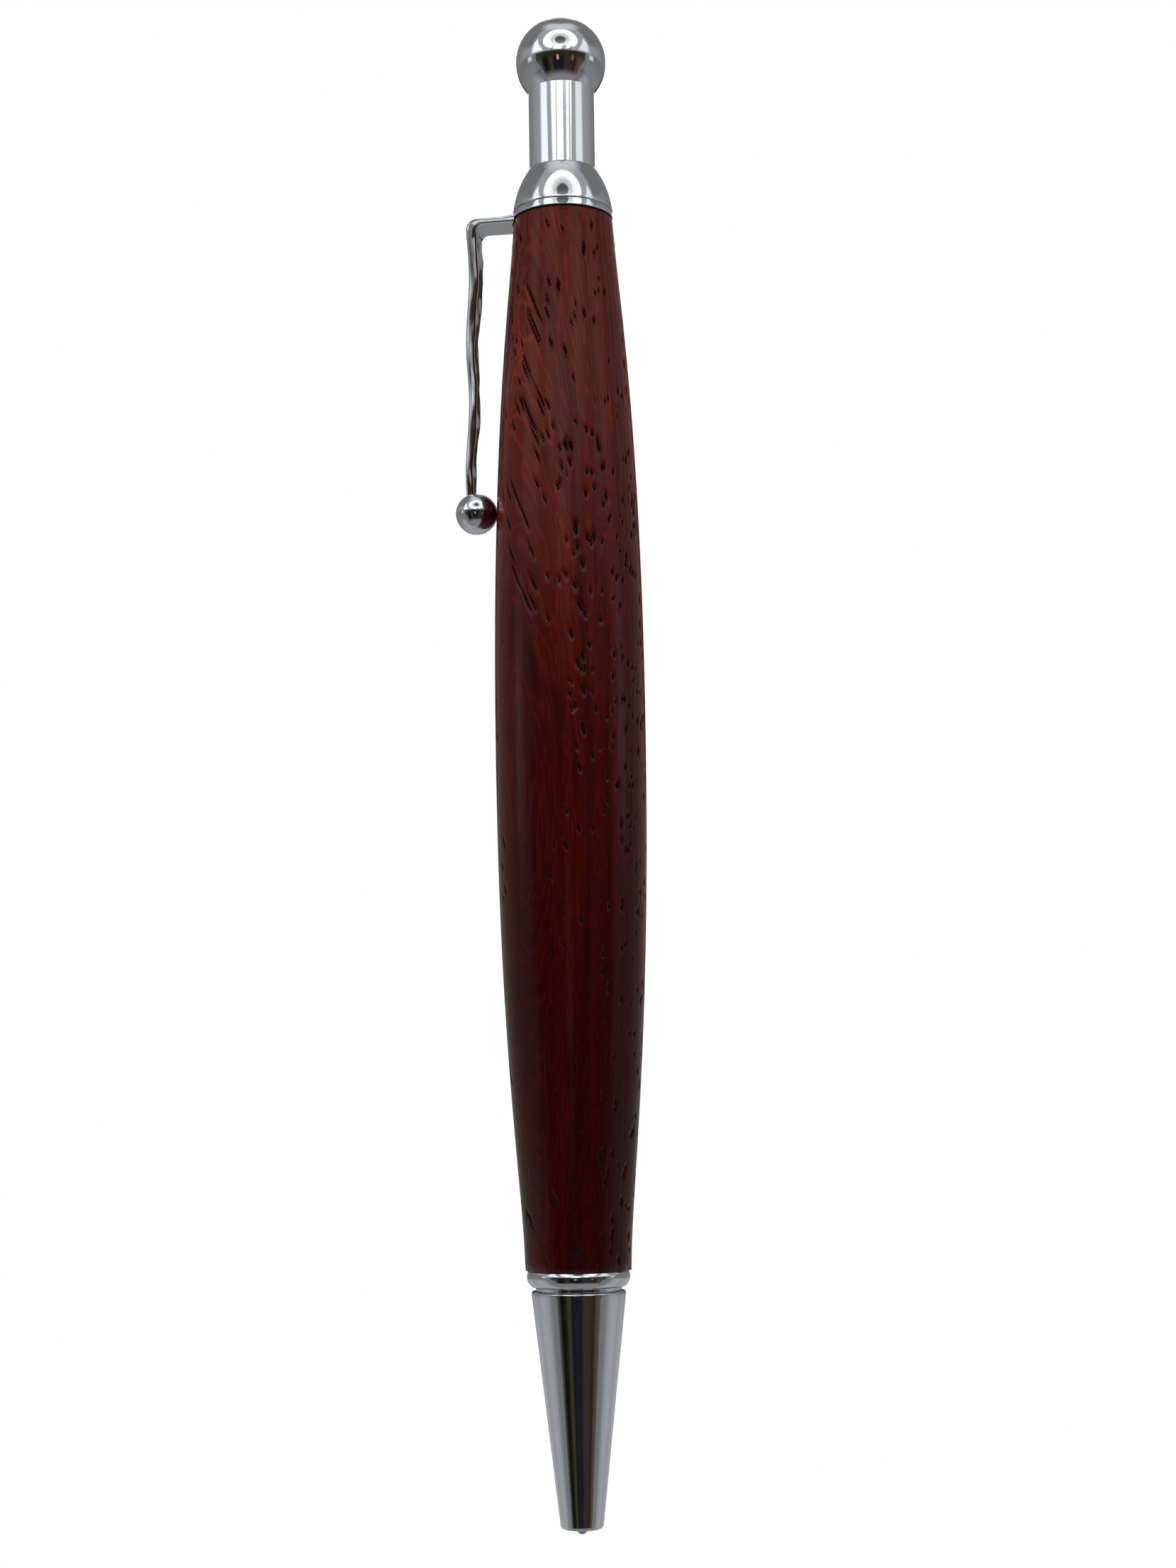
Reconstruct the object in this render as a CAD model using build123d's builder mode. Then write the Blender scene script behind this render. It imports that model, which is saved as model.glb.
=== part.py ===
"""A push-button ballpoint pen with a turned wooden barrel and chromed fittings.

The pen stands on its nose: +Z runs up its axis, the origin is the centre of the nose cone's mouth,
and the clip is on the -X side.  The button is shown out and the point drawn in.
"""
from build123d import *
from math import cos, pi, radians, sin, tan
import os

os.makedirs("parts", exist_ok=True)

# ---------------------------------------------------------------- driving dimensions, in millimetres
# Refill: a standard ballpoint refill with a plain round body
refill_length = 98.0            # tip of the writing ball to the back of the plug
refill_d = 5.85
refill_wall = 0.4
refill_nose_length = 18.0       # tip of the ball to the shoulder that the spring pushes on
point_d = 2.3                   # the part of the point that shows through the mouth
point_step_d = 2.9              # the thicker stem behind it
point_taper_length = 2.7
point_tip_d = 1.24
point_spigot_length = 4.0
ink_hole_d = 0.6
writing_ball_d = 1.0
ball_shows = 0.3                # how much of the writing ball stands out of its socket
ball_clearance = 0.02
plug_head_d = 4.4
plug_head_length = 6.0
plug_spigot_length = 5.0
plug_notch_width = 1.0
plug_notch_depth = 1.2
plug_notch_count = 4
ink_length = 58.0

# Return spring
spring_wire_d = 0.3
spring_coils = 9
spring_inner_gap = 0.12         # radial, round the point's stem
spring_outer_gap = 0.08         # radial, to the bore in the cone
seat_margin = 0.4               # the stem's step stays this far above the spring's seat when pressed
press_margin = 0.3              # room left under the refill's shoulder and the shaft when pressed

# Travel
point_proud = 0.5               # the drawn-in point still shows this far below the mouth
refill_travel = 3.6

# Click mechanism
cam_d = 5.2
cam_bore_d = 2.6
cam_bore_depth = 1.4
tooth_count = 8
tooth_height = 0.7              # the button goes this much further than the refill
tooth_clearance = 0.2
tooth_reach = 1.1               # each tooth is cut this much past the cam's radius, then trimmed round
rotor_height = 5.0
guide_rib_count = 4
guide_rib_width = 1.2
guide_rib_height = 0.5          # how far a rib stands out of the push cam
guide_rib_length = 3.0
guide_rib_start = 1.2           # from the cam teeth's tips to the ribs
slot_clearance = 0.15
housing_clearance = 0.3
housing_below_rotor = 2.0

# Push button
shaft_d = 6.25
shaft_bore_d = 4.6
shaft_bore_depth = 14.0
shaft_stickout = 7.8            # shaft that shows between the cap and the ball
ball_d = 8.56
ball_spigot_d = 3.6
ball_spigot_length = 3.4
collar_width = 0.4              # how far the stop collar stands out of the shaft
collar_height = 0.75
cam_spigot_length = 5.8
stop_gap = 0.05

# Fits
running_clearance = 0.06        # radial, between parts that slide or turn in each other
refill_clearance = 0.05
thread_clearance = 0.05
face_gap = 0.03                 # between flat faces that part when the pen is opened

# For the drawing only
bar_points = 14                 # points along each of the bar's curves
tiny = 0.01                     # a slice this thin stands for a plane

# Tube, couplers and barrel
coupler_wall = 0.42
tube_wall = 0.35
tube_gap = 0.155                # between the upper coupler's bore wall and the coupler's outside
wood_length = 97.6
belly_d = 13.84
wood_wall_bottom = 0.83
wood_wall_top = 0.70
sleeve_length = 8.0             # how far each coupler reaches into the tube
# Outline between the two rims: height as a share of the length, swell as a share of the belly's
wood_outline = [(0.029, 0.05), (0.091, 0.26), (0.23, 0.70), (0.49, 1.0), (0.742, 0.795), (0.902, 0.35),
                (0.972, 0.086)]

# Nose cone
cone_length = 20.8
lip_wall = 0.69
lip_round = 0.45
lip_share = 0.8                 # the lip's round takes at most this share of its wall
cone_wall = 0.38                # least wall of the cone outside its bores
cone_top_step = 0.52            # how far the cone's top edge stays inside the wooden rim
neck_height = 0.35
neck_wall = 0.45                # the groove's floor stands this far outside the thread
bead_height = 1.45
bead_step = 0.2                 # how far the bead stays inside the wooden rim
bead_round = 0.34

# Cap and clip
ring_height = 0.7
cap_height = 4.05
cap_bulge = 0.28
cap_socket_depth = 2.1
cap_edge = 0.05                 # flat left at the cap's top, round the shaft
arm_height = 0.6
arm_width = 4.0
arm_drop = 0.5                  # the arm's top below the ring's top
lug_drop = 0.35                 # the lug's root below the ring's top
lug_reach = 0.9                 # how far the ring's lug stands out of the ring
lug_wood_gap = 0.1              # between the lug and the wood beside it
lug_root = 0.2                  # how far the lug reaches into the ring's wall
hinge_gap = 0.12
bar_reach = 8.95                # axis to the bar's outer face at the knee
bar_thickness_top = 0.95
bar_thickness_bottom = 0.66
bar_width_top = 4.0
bar_width_bottom = 2.0
bar_length = 26.83              # from the arm's underside to the end inside the clip ball
bar_foot_offset = 0.42          # the bar's end meets the clip ball this far outside its centre
wave_length = 12.4
wave_height = 0.15
wave_start = 4.9                # from the arm's underside to the first crest towards the wood
clip_ball_d = 3.9
clip_ball_gap = 0.08
clip_ball_drop = 0.6            # the ball's centre below the bar's end
knee_round = 1.1
gusset_round = 0.65
gusset_share = 0.95             # the fillet takes this share of the room it has

# ---------------------------------------------------------------- sizes worked out from them
refill_r = refill_d / 2
point_r = point_d / 2
step_r = point_step_d / 2
shaft_r = shaft_d / 2
cam_r = cam_d / 2
tooth_pitch = 360 / tooth_count
button_travel = refill_travel + tooth_height

mouth_r = point_r + refill_clearance + lip_wall
bore_r = refill_r + refill_clearance                    # the way the refill slides in
thread_r = bore_r + coupler_wall                        # the coupler's threaded stub
tube_in_r = max(shaft_r + running_clearance + coupler_wall, thread_r + tube_gap)
tube_r = tube_in_r + tube_wall
wood_bottom_r = tube_r + wood_wall_bottom
wood_top_r = tube_r + wood_wall_top
cone_top_r = wood_bottom_r - cone_top_step
bead_r = wood_bottom_r - bead_step
neck_r = thread_r + neck_wall

# Heights
tip_z = -point_proud
shoulder_z = tip_z + refill_nose_length
barrel_end_z = tip_z + refill_length - plug_head_length
refill_top_z = tip_z + refill_length
neck_z = cone_length + face_gap
bead_z = neck_z + neck_height
wood_z = bead_z + bead_height
wood_top_z = wood_z + wood_length
ring_top_z = wood_top_z + ring_height
cap_top_z = ring_top_z + cap_height
ball_seat_z = cap_top_z + shaft_stickout
ball_centre_z = ball_seat_z + ((ball_d / 2) ** 2 - shaft_r ** 2) ** 0.5
coupler_bottom_z = wood_top_z - sleeve_length
shaft_bottom_z = coupler_bottom_z - stop_gap - collar_height

cone_slope = (cone_top_r - mouth_r) / cone_length
spring_mean_r = step_r + spring_inner_gap + spring_wire_d / 2
spring_bore_r = spring_mean_r + spring_wire_d / 2 + spring_outer_gap
spring_seat_z = (spring_bore_r + cone_wall - mouth_r) / cone_slope
point_step_z = spring_seat_z + refill_travel + seat_margin
refill_bore_z = shoulder_z - refill_travel - press_margin
stub_bottom_z = (thread_r + thread_clearance + cone_wall - mouth_r) / cone_slope

rotor_bottom_z = refill_top_z + face_gap
rotor_top_z = rotor_bottom_z + rotor_height
cam_tip_z = rotor_top_z + tooth_clearance
cam_root_z = cam_tip_z + tooth_height
tooth_half_width = cam_bore_d / 2 * tan(radians(tooth_pitch / 2))
housing_bore_r = cam_r + housing_clearance
housing_bottom_z = rotor_bottom_z - housing_below_rotor
housing_top_z = shaft_bottom_z - button_travel - press_margin
rib_bottom_z = cam_tip_z + guide_rib_start


def wood_radius(share):
    """Radius of the straight line between the two rims, at a share of the barrel's length."""
    return wood_bottom_r + (wood_top_r - wood_bottom_r) * share


outline_points = [(wood_bottom_r, wood_z)]
for share, swell in wood_outline:
    rim_r = wood_radius(share)
    outline_points.append((rim_r + (belly_d / 2 - rim_r) * swell, wood_z + wood_length * share))
outline_points.append((wood_top_r, wood_top_z))

# ---------------------------------------------------------------- barrel: wood, tube and couplers
with BuildPart() as wood_barrel:
    with BuildSketch(Plane.XZ):
        with BuildLine():
            Spline(*outline_points)
            Polyline((wood_top_r, wood_top_z), (tube_r, wood_top_z), (tube_r, wood_z), (wood_bottom_r, wood_z))
        make_face()
    revolve(axis=Axis.Z)
wood_barrel.part.label = "wood_barrel"
export_step(wood_barrel.part, "parts/wood_barrel.step")

with BuildPart() as brass_tube:
    with BuildSketch(Plane.XY.offset(wood_z)):
        Circle(tube_r)
        Circle(tube_in_r, mode=Mode.SUBTRACT)
    extrude(amount=wood_length)
brass_tube.part.label = "brass_tube"
export_step(brass_tube.part, "parts/brass_tube.step")

# The lower coupler: a sleeve in the tube, the bead below the wood, the groove's neck and a threaded stub
with BuildPart() as lower_coupler:
    with BuildSketch(Plane.XZ):
        with BuildLine():
            Polyline((bead_r - bead_round, bead_z), (neck_r, bead_z), (neck_r, neck_z), (thread_r, neck_z),
                     (thread_r, stub_bottom_z), (bore_r, stub_bottom_z), (bore_r, wood_z + sleeve_length),
                     (tube_in_r, wood_z + sleeve_length), (tube_in_r, wood_z), (bead_r - bead_round, wood_z))
            ThreePointArc((bead_r - bead_round, wood_z), (bead_r, wood_z - bead_height / 2),
                          (bead_r - bead_round, bead_z))
        make_face()
    revolve(axis=Axis.Z)
lower_coupler.part.label = "lower_coupler"
export_step(lower_coupler.part, "parts/lower_coupler.step")

# The upper coupler: a sleeve in the tube that stands up through the clip ring into the cap
with BuildPart() as upper_coupler:
    with BuildSketch(Plane.XY.offset(coupler_bottom_z)):
        Circle(tube_in_r)
        Circle(shaft_r + running_clearance, mode=Mode.SUBTRACT)
    extrude(amount=sleeve_length + ring_height + cap_socket_depth)
upper_coupler.part.label = "upper_coupler"
export_step(upper_coupler.part, "parts/upper_coupler.step")

# The cap: a low dome pressed over the upper coupler
with BuildPart() as top_cap:
    with BuildSketch(Plane.XZ):
        cap_bore_r = shaft_r + running_clearance
        cap_flat_r = cap_bore_r + cap_edge
        socket_top_z = ring_top_z + cap_socket_depth
        with BuildLine():
            SagittaArc((wood_top_r + cap_edge, ring_top_z), (cap_flat_r, cap_top_z), -cap_bulge)
            Polyline((cap_flat_r, cap_top_z), (cap_bore_r, cap_top_z), (cap_bore_r, socket_top_z),
                     (tube_in_r, socket_top_z), (tube_in_r, ring_top_z), (wood_top_r + cap_edge, ring_top_z))
        make_face()
    revolve(axis=Axis.Z)
top_cap.part.label = "top_cap"
export_step(top_cap.part, "parts/top_cap.step")

# ---------------------------------------------------------------- nose cone
with BuildPart() as nose_cone:
    point_bore_r = point_r + refill_clearance
    thread_bore_r = thread_r + thread_clearance
    with BuildSketch(Plane.XZ):
        with BuildLine():
            Polyline((point_bore_r, 0), (mouth_r, 0), (cone_top_r, cone_length), (thread_bore_r, cone_length),
                     (thread_bore_r, stub_bottom_z - face_gap), (bore_r, stub_bottom_z - face_gap),
                     (bore_r, refill_bore_z), (spring_bore_r, refill_bore_z), (spring_bore_r, spring_seat_z),
                     (point_bore_r, spring_seat_z), (point_bore_r, 0))
        make_face()
    revolve(axis=Axis.Z)
    lip_edge = nose_cone.edges().filter_by(GeomType.CIRCLE).group_by(Axis.Z)[0].sort_by(SortBy.RADIUS)[-1]
    fillet(lip_edge, radius=min(lip_round, lip_share * lip_wall))
nose_cone.part.label = "nose_cone"
export_step(nose_cone.part, "parts/nose_cone.step")

# ---------------------------------------------------------------- clip
arm_top_z = ring_top_z - arm_drop
arm_bottom_z = arm_top_z - arm_height
ring_r = wood_top_r + cap_edge
lug_end_x = -(ring_r + lug_reach)
lug_inner_x = -(ring_r + lug_wood_gap)
lug_root_x = -(tube_in_r + lug_root)
hinge_x = lug_end_x - hinge_gap / 2
bar_bottom_z = arm_bottom_z - bar_length
# The bar leans outwards so that its end meets the middle of the clip ball
clip_ball_z = bar_bottom_z - clip_ball_drop


def barrel_radius_at(height):
    """Outer radius of the wood at a height, read from the finished outline."""
    cut = wood_barrel.part & (Pos(0, 0, height) * Cylinder(belly_d, 2 * tiny))
    return cut.bounding_box().size.X / 2


clip_ball_x = -(barrel_radius_at(clip_ball_z) + clip_ball_gap + clip_ball_d / 2)
bar_lean = (-clip_ball_x + bar_foot_offset - (bar_reach - bar_thickness_top / 2)) / bar_length


def bar_faces(depth):
    """Inner and outer x of the bar, at a depth below the arm: a leaning line with a cosine wave on it."""
    share = depth / bar_length
    thickness = bar_thickness_top + (bar_thickness_bottom - bar_thickness_top) * share
    wave = wave_height * cos(2 * pi * (depth - wave_start) / wave_length)
    middle = bar_reach - bar_thickness_top / 2 + bar_lean * depth - wave
    return -(middle - thickness / 2), -(middle + thickness / 2)


with BuildPart() as clip_ring:
    with BuildSketch(Plane.XY.offset(wood_top_z)):
        Circle(ring_r)
        Circle(tube_in_r, mode=Mode.SUBTRACT)
    extrude(amount=ring_height)
    with BuildSketch(Plane.XZ):
        with BuildLine():
            Polyline((lug_root_x, wood_top_z), (lug_inner_x, wood_top_z), (lug_inner_x, arm_bottom_z),
                     (lug_end_x, arm_bottom_z), (lug_end_x, arm_top_z), (-ring_r, ring_top_z - lug_drop),
                     (lug_root_x, ring_top_z - lug_drop), close=True)
        make_face()
    extrude(amount=arm_width / 2, both=True)
    with BuildSketch(Plane.XY.offset(arm_bottom_z)):
        Circle(tube_in_r)
    extrude(amount=ring_top_z - arm_bottom_z, mode=Mode.SUBTRACT)
clip_ring.part.label = "clip_ring"
export_step(clip_ring.part, "parts/clip_ring.step")

# The arm and its knee, down to the top of the bar
with BuildPart() as clip_arm:
    arm_start_x = lug_end_x - hinge_gap
    knee_in_x, knee_out_x = bar_faces(0)
    with BuildSketch(Plane.XZ):
        with BuildLine():
            Polyline((arm_start_x, arm_top_z), (knee_out_x, arm_top_z), (knee_out_x, arm_bottom_z - gusset_round),
                     (knee_in_x, arm_bottom_z - gusset_round), (knee_in_x, arm_bottom_z),
                     (arm_start_x, arm_bottom_z), close=True)
        make_face()
    extrude(amount=arm_width / 2, both=True)
    upright = clip_arm.edges().filter_by(Axis.Y)
    fillet(upright.sort_by(Axis.X)[:2].sort_by(Axis.Z)[-1], radius=knee_round)
    inner = clip_arm.edges().filter_by(Axis.Y).filter_by_position(Axis.X, knee_in_x - tiny, knee_in_x + tiny)
    fillet(inner.sort_by(Axis.Z)[-1], radius=gusset_round * gusset_share)
clip_arm.part.label = "clip_arm"
export_step(clip_arm.part, "parts/clip_arm.step")

# The wavy bar, which tapers in thickness and in width
with BuildPart() as clip_bar:
    depths = [gusset_round + (bar_length - gusset_round) * i / bar_points for i in range(bar_points + 1)]
    inner_line = [(bar_faces(depth)[0], arm_bottom_z - depth) for depth in depths]
    outer_line = [(bar_faces(depth)[1], arm_bottom_z - depth) for depth in depths]
    with BuildSketch(Plane.XZ):
        with BuildLine():
            Spline(*inner_line)
            Line(inner_line[-1], outer_line[-1])
            Spline(*outer_line)
            Line(outer_line[0], inner_line[0])
        make_face()
    extrude(amount=arm_width, both=True)
    with BuildSketch(Plane.YZ):
        with BuildLine():
            Polyline((-bar_width_top / 2, arm_bottom_z), (bar_width_top / 2, arm_bottom_z),
                     (bar_width_bottom / 2, bar_bottom_z), (-bar_width_bottom / 2, bar_bottom_z), close=True)
        make_face()
    extrude(amount=3 * bar_reach, both=True, mode=Mode.INTERSECT)
clip_bar.part.label = "clip_bar"
export_step(clip_bar.part, "parts/clip_bar.step")

with BuildPart() as clip_ball:
    with Locations((clip_ball_x, 0, clip_ball_z)):
        Sphere(clip_ball_d / 2)
    add(clip_bar.part, mode=Mode.SUBTRACT)
clip_ball.part.label = "clip_ball"
export_step(clip_ball.part, "parts/clip_ball.step")

# ---------------------------------------------------------------- push button
with BuildPart() as push_shaft:
    with BuildSketch(Plane.XY.offset(shaft_bottom_z)):
        Circle(shaft_r)
    extrude(amount=ball_seat_z - shaft_bottom_z)
    with BuildSketch(Plane.XY.offset(ball_seat_z)):
        Circle(ball_spigot_d / 2)
    extrude(amount=ball_spigot_length)
    with BuildSketch(Plane.XY.offset(shaft_bottom_z)):
        Circle(shaft_bore_d / 2)
    extrude(amount=shaft_bore_depth, mode=Mode.SUBTRACT)
push_shaft.part.label = "push_shaft"
export_step(push_shaft.part, "parts/push_shaft.step")

with BuildPart(Plane((0, 0, ball_centre_z))) as push_ball:
    Sphere(ball_d / 2)
    split(bisect_by=Plane((0, 0, ball_seat_z)), keep=Keep.TOP)
    with BuildSketch(Plane((0, 0, ball_seat_z))):
        Circle(ball_spigot_d / 2)
    extrude(amount=ball_spigot_length, mode=Mode.SUBTRACT)
push_ball.part.label = "push_ball"
export_step(push_ball.part, "parts/push_ball.step")

with BuildPart() as stop_collar:
    with BuildSketch(Plane.XY.offset(shaft_bottom_z)):
        Circle(min(shaft_r + collar_width, tube_in_r - running_clearance))
        Circle(shaft_r, mode=Mode.SUBTRACT)
    extrude(amount=collar_height)
stop_collar.part.label = "stop_collar"
export_step(stop_collar.part, "parts/stop_collar.step")

# ---------------------------------------------------------------- click mechanism
# Push cam: a round body with guide ribs, and a ring of teeth that point down
with BuildPart() as push_cam:
    with BuildSketch(Plane.XY.offset(cam_root_z)):
        Circle(cam_r)
    extrude(amount=shaft_bottom_z - cam_root_z)
    for i in range(tooth_count):
        turn = radians(i * tooth_pitch)
        outward = (cos(turn), sin(turn), 0)
        with BuildSketch(Plane((0, 0, cam_root_z), x_dir=(-sin(turn), cos(turn), 0), z_dir=outward)):
            with BuildLine():
                Polyline((-tooth_half_width, 0), (0, -tooth_height), (tooth_half_width, 0), close=True)
            make_face()
        extrude(amount=cam_r * tooth_reach)
    with BuildSketch(Plane.XY.offset(cam_tip_z)):
        Circle(cam_r)
    extrude(amount=shaft_bottom_z - cam_tip_z, mode=Mode.INTERSECT)
    with BuildSketch(Plane.XY.offset(rib_bottom_z)):
        with PolarLocations(cam_r, guide_rib_count):
            Rectangle(2 * guide_rib_height, guide_rib_width)
    extrude(amount=guide_rib_length)
    with BuildSketch(Plane.XY.offset(shaft_bottom_z)):
        Circle(shaft_bore_d / 2)
    extrude(amount=cam_spigot_length)
    with BuildSketch(Plane.XY.offset(cam_tip_z)):
        Circle(cam_bore_d / 2)
    extrude(amount=cam_bore_depth, mode=Mode.SUBTRACT)
push_cam.part.label = "push_cam"
export_step(push_cam.part, "parts/push_cam.step")

# Rotor: sits on the refill, with the matching ring of teeth pointing up
with BuildPart() as rotor_cam:
    with BuildSketch(Plane.XY.offset(rotor_bottom_z)):
        Circle(cam_r)
    extrude(amount=rotor_height - tooth_height)
    for i in range(tooth_count):
        turn = radians(i * tooth_pitch)
        outward = (cos(turn), sin(turn), 0)
        root = (0, 0, rotor_top_z - tooth_height)
        with BuildSketch(Plane(root, x_dir=(-sin(turn), cos(turn), 0), z_dir=outward)):
            with BuildLine():
                Polyline((-tooth_half_width, 0), (0, tooth_height), (tooth_half_width, 0), close=True)
            make_face()
        extrude(amount=cam_r * tooth_reach)
    with BuildSketch(Plane.XY.offset(rotor_bottom_z)):
        Circle(cam_r)
    extrude(amount=rotor_height, mode=Mode.INTERSECT)
    with BuildSketch(Plane.XY.offset(rotor_top_z)):
        Circle(cam_bore_d / 2)
    extrude(amount=-cam_bore_depth, mode=Mode.SUBTRACT)
rotor_cam.part.label = "rotor_cam"
export_step(rotor_cam.part, "parts/rotor_cam.step")

with BuildPart() as mechanism_housing:
    slot_r = cam_r + guide_rib_height + slot_clearance
    slot_bottom_z = rib_bottom_z - button_travel - slot_clearance
    with BuildSketch(Plane.XY.offset(housing_bottom_z)):
        Circle(tube_in_r)
        Circle(housing_bore_r, mode=Mode.SUBTRACT)
    extrude(amount=housing_top_z - housing_bottom_z)
    with BuildSketch(Plane.XY.offset(slot_bottom_z)):
        with PolarLocations(slot_r / 2, guide_rib_count):
            Rectangle(slot_r, guide_rib_width + 2 * slot_clearance)
    extrude(amount=housing_top_z - slot_bottom_z, mode=Mode.SUBTRACT)
mechanism_housing.part.label = "mechanism_housing"
export_step(mechanism_housing.part, "parts/mechanism_housing.step")

# ---------------------------------------------------------------- refill
barrel_in_r = refill_r - refill_wall
ball_z = tip_z + writing_ball_d / 2

with BuildPart() as refill_barrel:
    with BuildSketch(Plane.XY.offset(shoulder_z)):
        Circle(refill_r)
        Circle(barrel_in_r, mode=Mode.SUBTRACT)
    extrude(amount=barrel_end_z - shoulder_z)
refill_barrel.part.label = "refill_barrel"
export_step(refill_barrel.part, "parts/refill_barrel.step")

with BuildPart() as refill_point:
    point_front_z = tip_z + ball_shows
    with BuildSketch(Plane.XZ):
        with BuildLine():
            Polyline((0, point_front_z), (point_tip_d / 2, point_front_z), (point_r, tip_z + point_taper_length),
                     (point_r, point_step_z), (step_r, point_step_z + (step_r - point_r)), (step_r, shoulder_z),
                     (barrel_in_r, shoulder_z), (barrel_in_r, shoulder_z + point_spigot_length),
                     (0, shoulder_z + point_spigot_length), close=True)
        make_face()
    revolve(axis=Axis.Z)
    with BuildSketch(Plane.XY.offset(ball_z)):
        Circle(ink_hole_d / 2)
    extrude(amount=shoulder_z + point_spigot_length - ball_z, mode=Mode.SUBTRACT)
    with Locations((0, 0, ball_z)):
        Sphere(writing_ball_d / 2 + ball_clearance, mode=Mode.SUBTRACT)
refill_point.part.label = "refill_point"
export_step(refill_point.part, "parts/refill_point.step")

with BuildPart(Plane((0, 0, ball_z))) as writing_ball:
    Sphere(writing_ball_d / 2)
writing_ball.part.label = "writing_ball"
export_step(writing_ball.part, "parts/writing_ball.step")

with BuildPart() as ink_column:
    with BuildSketch(Plane.XY.offset(shoulder_z + point_spigot_length)):
        Circle(barrel_in_r)
    extrude(amount=ink_length)
ink_column.part.label = "ink_column"
export_step(ink_column.part, "parts/ink_column.step")

with BuildPart() as refill_plug:
    with BuildSketch(Plane.XY.offset(barrel_end_z - plug_spigot_length)):
        Circle(barrel_in_r)
    extrude(amount=plug_spigot_length)
    with BuildSketch(Plane.XY.offset(barrel_end_z)):
        Circle(plug_head_d / 2)
    extrude(amount=plug_head_length)
    with BuildSketch(Plane.XY.offset(refill_top_z)):
        with PolarLocations(plug_head_d / 2, plug_notch_count):
            Rectangle(plug_head_d / 2, plug_notch_width)
    extrude(amount=-plug_notch_depth, mode=Mode.SUBTRACT)
refill_plug.part.label = "refill_plug"
export_step(refill_plug.part, "parts/refill_plug.step")

# The return spring: an open helix between the seat in the cone and the refill's shoulder
with BuildPart() as return_spring:
    helix_height = shoulder_z - spring_seat_z - spring_wire_d
    with BuildLine() as wire_path:
        Helix(helix_height / spring_coils, helix_height, spring_mean_r,
              center=(0, 0, spring_seat_z + spring_wire_d / 2))
    with BuildSketch(Plane(wire_path.line @ 0, z_dir=wire_path.line % 0)):
        Circle(spring_wire_d / 2)
    sweep(is_frenet=True)
return_spring.part.label = "return_spring"
export_step(return_spring.part, "parts/return_spring.step")

print("overall length", round(ball_centre_z + ball_d / 2 - tip_z, 2), "mm")
print("button travel", button_travel, "refill travel", refill_travel)
print("clip hinge at", round(hinge_x, 3), 0, round(arm_top_z - arm_height / 2, 3))
print("clip ball at", round(clip_ball_x, 3), round(clip_ball_z, 3), "spring seat", round(spring_seat_z, 3))
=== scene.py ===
# %% [markdown]
# # A click pen with a turned wooden barrel
# The pen's working parts come from the CAD model, in metres, with the pen standing on its nose along +Z
# and its clip on the -X side.  This lesson gives it its looks: real surfaces with the small rounds that
# catch the light, open-grained wood, bright chrome, and a light tent for the chrome to reflect.

# %% Load the CAD model
import bmesh
import bpy
import numpy as np
from math import cos, pi, radians, sin
from mathutils import Matrix, Vector


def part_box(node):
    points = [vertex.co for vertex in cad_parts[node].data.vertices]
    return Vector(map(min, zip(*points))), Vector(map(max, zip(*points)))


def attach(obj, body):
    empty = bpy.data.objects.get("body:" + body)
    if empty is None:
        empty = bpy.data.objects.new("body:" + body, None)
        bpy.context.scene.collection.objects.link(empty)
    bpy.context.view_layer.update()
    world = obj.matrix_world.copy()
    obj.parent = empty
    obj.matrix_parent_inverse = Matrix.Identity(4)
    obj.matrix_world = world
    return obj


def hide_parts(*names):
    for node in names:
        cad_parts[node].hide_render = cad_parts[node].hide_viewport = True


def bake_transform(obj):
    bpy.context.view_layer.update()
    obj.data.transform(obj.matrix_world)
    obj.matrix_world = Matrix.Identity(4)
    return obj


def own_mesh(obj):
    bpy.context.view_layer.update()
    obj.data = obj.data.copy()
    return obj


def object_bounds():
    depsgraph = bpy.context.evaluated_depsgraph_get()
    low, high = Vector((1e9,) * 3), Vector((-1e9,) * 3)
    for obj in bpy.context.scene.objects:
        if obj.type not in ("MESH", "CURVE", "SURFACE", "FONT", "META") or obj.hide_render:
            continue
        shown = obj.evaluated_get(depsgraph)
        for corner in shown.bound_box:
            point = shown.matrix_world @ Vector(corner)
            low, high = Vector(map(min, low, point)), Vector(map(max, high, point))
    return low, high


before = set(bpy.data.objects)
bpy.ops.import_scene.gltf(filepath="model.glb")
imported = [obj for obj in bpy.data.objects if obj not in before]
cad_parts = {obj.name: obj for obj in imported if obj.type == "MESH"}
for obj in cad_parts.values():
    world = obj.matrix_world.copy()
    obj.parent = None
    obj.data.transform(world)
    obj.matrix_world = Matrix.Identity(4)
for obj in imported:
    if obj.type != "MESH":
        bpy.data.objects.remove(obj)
cad_low, cad_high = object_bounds()
MM = 0.001
print("pen:", [round(side / MM, 2) for side in cad_high - cad_low], "mm")

# %% [markdown]
# ## Reading sizes from the frame
# Every height below comes from a CAD node's box, in millimetres, so that a piece sits where the CAD says.


# %% Heights and radii of the CAD nodes
def heights(node):
    """Lowest and highest z of a CAD node, in millimetres."""
    low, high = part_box(node)
    return low.z / MM, high.z / MM


def radius(node):
    """Half the width of a round CAD node along Y, in millimetres."""
    low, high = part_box(node)
    return (high.y - low.y) / 2 / MM


cone_z, cone_top_z = heights("nose_cone")
wood_z, wood_top_z = heights("wood_barrel")
ring_z, ring_top_z = wood_top_z, heights("top_cap")[0]
cap_top_z = heights("top_cap")[1]
shaft_z = heights("push_shaft")[0]
ball_seat_z, ball_top_z = heights("push_ball")
seat_z, shoulder_z = heights("return_spring")
shaft_r, ball_r = radius("push_shaft"), radius("push_ball")
tube_r, tube_in_r = radius("brass_tube"), radius("upper_coupler")
print("barrel", round(wood_z, 2), "to", round(wood_top_z, 2), "mm; cap's top", round(cap_top_z, 2), "mm")

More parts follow.
